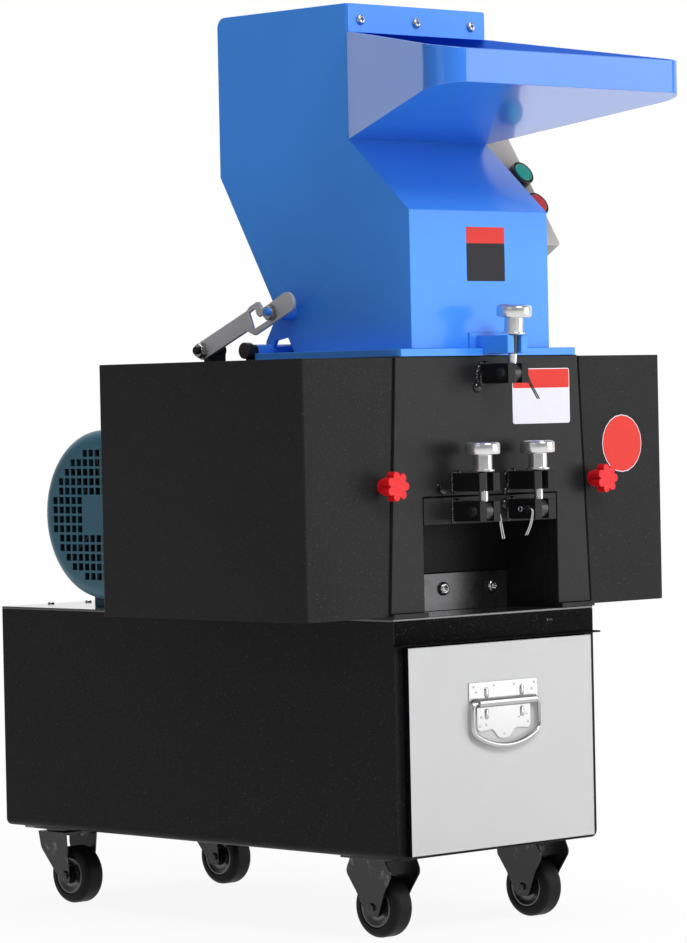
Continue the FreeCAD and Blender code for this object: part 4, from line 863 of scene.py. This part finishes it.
@dataclass
class Crusher(Dresser):
    """Crusher body with its window, forks and swing bolts."""

    lean: float = 4.5
    pin_out: float = -28.5
    eye_reach: float = 11.0
    pins: dict = field(default_factory=lambda: {"left": (-43.5, 468), "right": (43.5, 468), "top": (5, 619)})
    # distance along the bolt from its pin, radius
    collar_profile: tuple = ((0.0105, 0.0051), (0.0218, 0.0051), (0.0218, 0.0008))
    shank_profile: tuple = ((0.0218, 0.0049), (0.0436, 0.0049))
    knob_profile: tuple = (
        (0.0436, 0.0049), (0.0436, 0.013), (0.0456, 0.013), (0.0456, 0.0105), (0.0615, 0.0105),
        (0.062, 0.0178), (0.0625, 0.019), (0.0637, 0.0195), (0.0725, 0.0195), (0.0738, 0.0192),
        (0.075, 0.0181), (0.0757, 0.0165), (0.076, 0.014), (0.0757, 0.012), (0.0757, 0.0006))
    # corners of one strip of painted gap shade, as x and z, mirrored for the right side
    seam_corners: tuple = ((143.6, 638), (146.6, 638), (160.4, 360), (157.6, 360))
    # middle of a fork or clevis, its lower and upper end
    weld_runs: dict = field(default_factory=lambda: {
        "clevis_left": (-43.5, 457, 479), "clevis_right": (43.5, 457, 479), "clevis_top": (5, 608, 630),
        "fork_left": (-43.5, 490, 510), "fork_right": (43.5, 490, 510)})
    heap_places: tuple = ((-14.5, 625), (-17, 620), (-18, 614), (-16, 609), (-18.5, 604),
                          (25, 505), (29, 497), (24, 488), (27, 480), (22, 474))
    # legs as points behind the front and above the pin
    cotter_bends: dict = field(default_factory=lambda: {
        "left": (1, "zinc", ((-32, 0.5), (-34.5, -3), (-36, -14), (-40, -31))),
        "right": (-1, "zinc", ((-35, 1.5), (-37, -4), (-33, -18), (-26, -29))),
        "top": (1, "pin", ((-32, 0.5), (-35, -3), (-38, -11), (-51, -29)))})
    cotter_wire: float = 0.00075
    cotter_eye: float = 2.6

    def dress(self) -> None:
        """Finish the crusher."""
        self.skins(("crusher_front_plate", "crusher_cheek_left", "crusher_cheek_right", "crusher_rear_plate",
                    "crusher_top_frame", "cradle_bar"), "body", 0.001)
        self.fitter.skin("chute_plate", self.look("chute"), 0.0006)
        self.fitter.skin("bed_plate", self.look("bed"), 0.0006)
        self.fitter.skin("bolt_forks", self.look("forks"), 0.0012, 3)
        self.fitter.skin("clevis_pins", self.look("pin"), 0.0004)
        for side, (x, pin_z) in self.pins.items():
            eye_top = at(x, 0, pin_z + self.eye_reach).z
            node = f"swing_bolt_{side}"
            self.fitter.skin(node, self.look("shank"), 0.0005, 3, name=f"bolt_eye_{side}",
                             keep=lambda point: point.z <= eye_top)
            lean = math.radians(self.lean if side == "top" else 0.0)
            axis = Vector((0, -math.sin(lean), math.cos(lean)))
            parts = (("knob", self.knob_profile, "chrome"), ("collar", self.collar_profile, "chrome"),
                     ("shank", self.shank_profile, "shank"))
            for part, profile, look in parts:
                name = f"bolt_{part}_{side}"
                turned = Shape().lathe(profile, at(x, self.pin_out, pin_z), axis, 72)
                self.fitter.fit(name, turned.mesh(name), self.look(look), f"{side}_swing_bolt", (node,),
                                0.0003)
        bed = [(at(x, 84, 378.5), OUT, X) for x in (-76, 3, 80)]
        self.screws.place("bed_screws", bed, "machine", self.fitter, 1.5)
        self.gap_shades()
        self.fork_welds()
        self.cotters()

    def gap_shades(self) -> None:
        """Painted shade: black strips on the front plate where the gaps to the guards lie in shadow."""
        for side, sign in (("left", -1), ("right", 1)):
            outline = [at(sign * x, 2.95, z) for x, z in self.seam_corners]
            strip = Shape().plate(outline, OUT * 0.0001)
            self.fitter.fit(f"seam_{side}", strip.mesh(f"seam_{side}", False), self.look("rail"), "machine")

    def fork_welds(self) -> None:
        """Rough weld beads where forks and clevises meet the front plate."""
        for name, (x, low, high) in self.weld_runs.items():
            corners = [at(x - 16.5, 2.8, low), at(x - 16.5, 2.8, high), at(x - 4, 2.8, high)]
            self.weld(f"weld_{name}", corners, OUT, 0.0031, scale=1.35)
        heap = [(at(x, 2.9, z), OUT, X) for x, z in self.heap_places]
        self.beads.place("weld_heap", heap, "machine", self.fitter, 2.1, 0.4)
        dark = [(at(-78, 3, 493), OUT, Z), (at(28.3, 3, 503), OUT, Z)]
        self.nuts.place("window_nuts", dark, "machine", self.fitter, 0.85)

    def cotters(self) -> None:
        """Split pins through the free ends of the clevis pins, with their long legs bent down."""
        for side, (sign, look, bend) in self.cotter_bends.items():
            x, pin_z = self.pins[side]
            end = x + sign * 18.2
            shape = Shape()
            for apart in (-0.75, 0.75):
                route = [at(end + apart, -20, pin_z)] + [
                    at(end + apart * (1 + step * 0.35), behind, pin_z + up)
                    for step, (behind, up) in enumerate(bend)]
                shape.tube(eased(route), self.cotter_wire, 8)
            ring = [at(end, -17.5 + self.cotter_eye * math.cos(a), pin_z + self.cotter_eye * math.sin(a))
                    for a in turns(20)]
            shape.tube(ring, self.cotter_wire, 8, True)
            self.fitter.fit(f"cotter_{side}", shape.mesh(f"cotter_{side}"), self.look(look), "machine")


@dataclass
class Guards(Dresser):
    """Side guards with their star knobs, and the blank labels beside them."""

    # name, middle of its back, width, height, corner radius, finish
    labels: tuple = (
        ("guard_disc_rim", (217, 4, 537), 0.066, 0.066, 0.0329, "label_white"),
        ("guard_disc", (217, 3.8, 537), 0.064, 0.064, 0.0319, "label_red"),
        ("front_label", (83.75, 3, 593.25), 0.0925, 0.062, 0.003, "label_white"),
        ("front_label_band", (83.75, 2.85, 612.75), 0.0905, 0.021, 0.002, "label_red"))

    def dress(self) -> None:
        """Finish the guards."""
        self.skins(("left_guard", "right_guard"), "guard", 0.0012)
        self.fitter.skin("star_knobs", self.look("knob_red"), 0.0009, 3)
        for name, middle, width, height, radius, look in self.labels:
            self.label(name, at(*middle), width, height, OUT, Z, look, radius=radius)


@dataclass
class Hopper(Dresser):
    """Hopper, its tray, hinge and stay."""

    strip_size: tuple = (216.0, 32)
    strip_screw_places: tuple = (-89, -2, 85)

    def dress(self) -> None:
        """Finish the hopper."""
        self.skins(("hopper_shell", "hopper_flange", "hopper_fork", "hinge_barrels"), "hopper", 0.0008)
        self.fitter.skin("feed_tray", self.look("tray"), 0.0007, 3)
        self.fitter.skin("hinge_pins", self.look("pin"), 0.0006)
        self.fitter.skin("stay_bar", self.look("bar"), 0.0005)
        studs = [(at(-136, 327, 653), -X, Z), (at(-136, 208.8, 692.9), -X, Y + Z)]
        self.bolts.place("stay_nuts", studs, "machine", self.fitter, 1.15)
        outline = [at(a, 105.5, 1017 + b) for a, b in round_rectangle(*self.strip_size, 3)]
        self.fitter.fit("mouth_strip", Shape().plate(outline, OUT * 0.0015).mesh("mouth_strip", False),
                        self.look("hopper"), "machine", round_by=0.0004)
        strip = [(at(x, 104, 1015), OUT, X) for x in self.strip_screw_places]
        self.screws.place("strip_screws", strip, "machine", self.fitter, 1.1)
        self.label("neck_label", at(9, 12.5, 743), 0.06, 0.042, OUT, Z, "label_dark")
        self.label("neck_label_band", at(9, 12.5, 773), 0.06, 0.018, OUT, Z, "label_red")


@dataclass
class Controls(Dresser):
    """Tilted control box with two push buttons."""

    def dress(self) -> None:
        """Finish the control box."""
        self.fitter.skin("control_box", self.look("control"), 0.0015, 3)
        self.fitter.skin("button_bezels", self.look("bezel"), 0.0012, 3)
        self.fitter.skin("green_button", self.look("green"), 0.0004)
        self.fitter.skin("red_button", self.look("red"), 0.0004)


@dataclass
class Motor(Dresser):
    """Motor with its fan and perforated cover."""

    def dress(self) -> None:
        """Finish the motor."""
        self.skins(("motor_frame", "motor_rails", "terminal_box"), "motor", 0.0008)
        self.fitter.skin("fan_cover", self.look("motor"), 0.0003)
        self.fitter.skin("motor_fan", self.look("fan"), 0.0006)


@dataclass
class Studio:
    """Floor, backdrop, lights and the camera at the photo's angle."""

    eye: tuple = (-3280.3, -3214.6, 591.4)
    yaw: float = 43.52
    pitch: float = -0.969
    roll: float = 1.194
    focal_pixels: float = 4136.5
    frame_height: float = 943.0
    sensor: float = 36.0
    floor_reach: float = 7.0
    curve_start: float = 2.6
    curve_radius: float = 1.6
    curve_steps: int = 12
    wall_top: float = 6.0
    paper_drop: float = 0.0003
    shade_near: float = 0.9
    shade_far: float = 1.7
    shade_share: float = 0.08
    dim_world: float = 0.25
    # name, place, height it looks at, width, watts
    lamps: tuple = (
        ("key_lamp", (-0.3, -3.4, 3.4), 0.55, 1.6, 108), ("sheen_lamp", (2.6, -2.8, 1.0), 0.55, 2.4, 45),
        ("left_lamp", (-4.0, -1.2, 2.2), 0.55, 2.4, 9), ("top_lamp", (0.2, 0.4, 3.6), 0.5, 2.6, 60))

    def paper(self) -> bpy.types.Material:
        """White paper that keeps the machine's shadow.

        The sweep's faces point away from the machine, so a camera behind the wall meets their front
        and sees through it, and a camera inside meets their back and sees paper.
        """
        made = bpy.data.materials.new("studio_paper")
        made.use_nodes = True
        made.node_tree.nodes.clear()
        graph = Graph(made.node_tree)
        camera = graph.add("ShaderNodeLightPath", None, None, "Is Camera Ray")
        mirror = graph.add("ShaderNodeLightPath", None, None, "Is Glossy Ray")
        seen = graph.add("ShaderNodeMath", {"operation": "MAXIMUM"}, {0: camera, 1: mirror})
        place = graph.add("ShaderNodeTexCoord", None, None, "Object")
        reach = graph.add("ShaderNodeVectorMath", {"operation": "LENGTH"}, {0: place}, "Value")
        near = 1.0 - graph.ramp(reach, self.shade_near, self.shade_far)
        matt = graph.add("ShaderNodeBsdfDiffuse", None, {"Color": (0.9, 0.9, 0.9, 1)})
        white = graph.add("ShaderNodeEmission", None, {"Color": (1, 1, 1, 1), "Strength": 1.0})
        mixed = graph.add("ShaderNodeMixShader", None,
                          {0: seen * (1.0 - near * self.shade_share), 1: matt, 2: white})
        behind = graph.add("ShaderNodeNewGeometry", None, None, "Backfacing")
        clear = graph.add("ShaderNodeBsdfTransparent", None, {"Color": (1, 1, 1, 1)})
        sheet = graph.add("ShaderNodeMixShader", None, {0: camera * (1.0 - behind), 1: mixed, 2: clear})
        graph.add("ShaderNodeOutputMaterial", None, {"Surface": sheet})
        return made

    def sweep(self) -> None:
        """Floor that curves up into the backdrop behind the machine."""
        shape = Shape()
        ahead = Vector((math.sin(math.radians(self.yaw)), math.cos(math.radians(self.yaw)), 0))
        across = Vector((ahead.y, -ahead.x, 0))
        profile = [(-self.floor_reach, 0.0), (self.curve_start, 0.0)]
        for step in range(1, self.curve_steps + 1):
            angle = math.pi / 2 * step / self.curve_steps
            profile.append((self.curve_start + self.curve_radius * math.sin(angle),
                            self.curve_radius - self.curve_radius * math.cos(angle)))
        profile.append((self.curve_start + self.curve_radius, self.wall_top))
        rows = [[shape.bm.verts.new(ahead * out + across * side + Vector((0, 0, up - self.paper_drop)))
                 for side in (-self.floor_reach, self.floor_reach)] for out, up in profile]
        for low, high in zip(rows, rows[1:]):
            shape.bm.faces.new((low[0], low[1], high[1], high[0]))
        made = bpy.data.objects.new("studio_sweep", shape.mesh("studio_sweep"))
        made.data.materials.append(self.paper())
        bpy.context.scene.collection.objects.link(made)

    def lamp(self, name: str, place: tuple, target: tuple, size: float, power: float) -> None:
        """Soft square lamp that looks at a point."""
        light = bpy.data.lights.new(name, "AREA")
        light.shape = "RECTANGLE"
        light.size = size
        light.size_y = size
        light.energy = power
        made = bpy.data.objects.new(name, light)
        made.location = place
        made.rotation_euler = (Vector(target) - Vector(place)).to_track_quat("-Z", "Y").to_euler()
        bpy.context.scene.collection.objects.link(made)

    def build(self) -> None:
        """Set the stage, the lights and the camera."""
        self.sweep()
        world = bpy.data.worlds.new("studio_world")
        bpy.context.scene.world = world
        world.use_nodes = True
        world.node_tree.nodes.clear()
        graph = Graph(world.node_tree)
        seen = graph.add("ShaderNodeLightPath", None, None, "Is Camera Ray")
        strength = self.dim_world + seen * (1.0 - self.dim_world)
        back = graph.add("ShaderNodeBackground", None, {"Color": (1, 1, 1, 1), "Strength": strength})
        graph.add("ShaderNodeOutputWorld", None, {"Surface": back})
        for name, place, height, size, power in self.lamps:
            self.lamp(name, place, (0, 0, height), size, power)
        self.camera()
        bpy.context.scene.view_settings.view_transform = "Standard"

    def camera(self) -> None:
        """Camera found from the photo's edges."""
        yaw, pitch, roll = (math.radians(angle) for angle in (self.yaw, self.pitch, self.roll))
        ahead = Vector((math.sin(yaw) * math.cos(pitch), math.cos(yaw) * math.cos(pitch), math.sin(pitch)))
        level = Vector((math.cos(yaw), -math.sin(yaw), 0))
        above = level.cross(ahead)
        right = level * math.cos(roll) - above * math.sin(roll)
        up = level * math.sin(roll) + above * math.cos(roll)
        lens = bpy.data.cameras.new("photo_camera")
        lens.sensor_fit = "VERTICAL"
        lens.sensor_height = self.sensor
        lens.lens = self.sensor * self.focal_pixels / self.frame_height
        lens.clip_end = 100
        made = bpy.data.objects.new("photo_camera", lens)
        turn = Matrix((right, up, -ahead)).transposed()
        made.matrix_world = Matrix.Translation(at(*self.eye)) @ turn.to_4x4()
        bpy.context.scene.collection.objects.link(made)
        bpy.context.scene.camera = made


def main() -> None:
    """Build every sub-assembly in order."""
    logging.basicConfig(level=logging.WARNING)
    fitter = Fitter()
    box = FastenerBox()
    nickel = FINISHES["nickel"]
    nut = (0.0065, 0.005, 0.0085)
    shared = (fitter,
              Repeater("socket_screws", box.socket_screw(0.0052, 0.003), nickel),
              Repeater("hex_bolts", box.hex_bolt(*nut), nickel),
              Repeater("rivet_heads", box.rivet(0.0017, 0.0008), nickel),
              Repeater("weld_ripples", box.bead(0.0021), FINISHES["weld"]),
              Repeater("dark_nuts", box.hex_bolt(*nut), FINISHES["weld"]),
              Repeater("axle_bolts", box.hex_bolt(*nut), FINISHES["rim"]))
    for part in (BaseCabinet, Castors, Crusher, Guards, Hopper, Controls, Motor):
        part(*shared).dress()
    for repeater in shared[1:]:
        repeater.close()
    Studio().build()


if __name__ == "__main__":
    main()
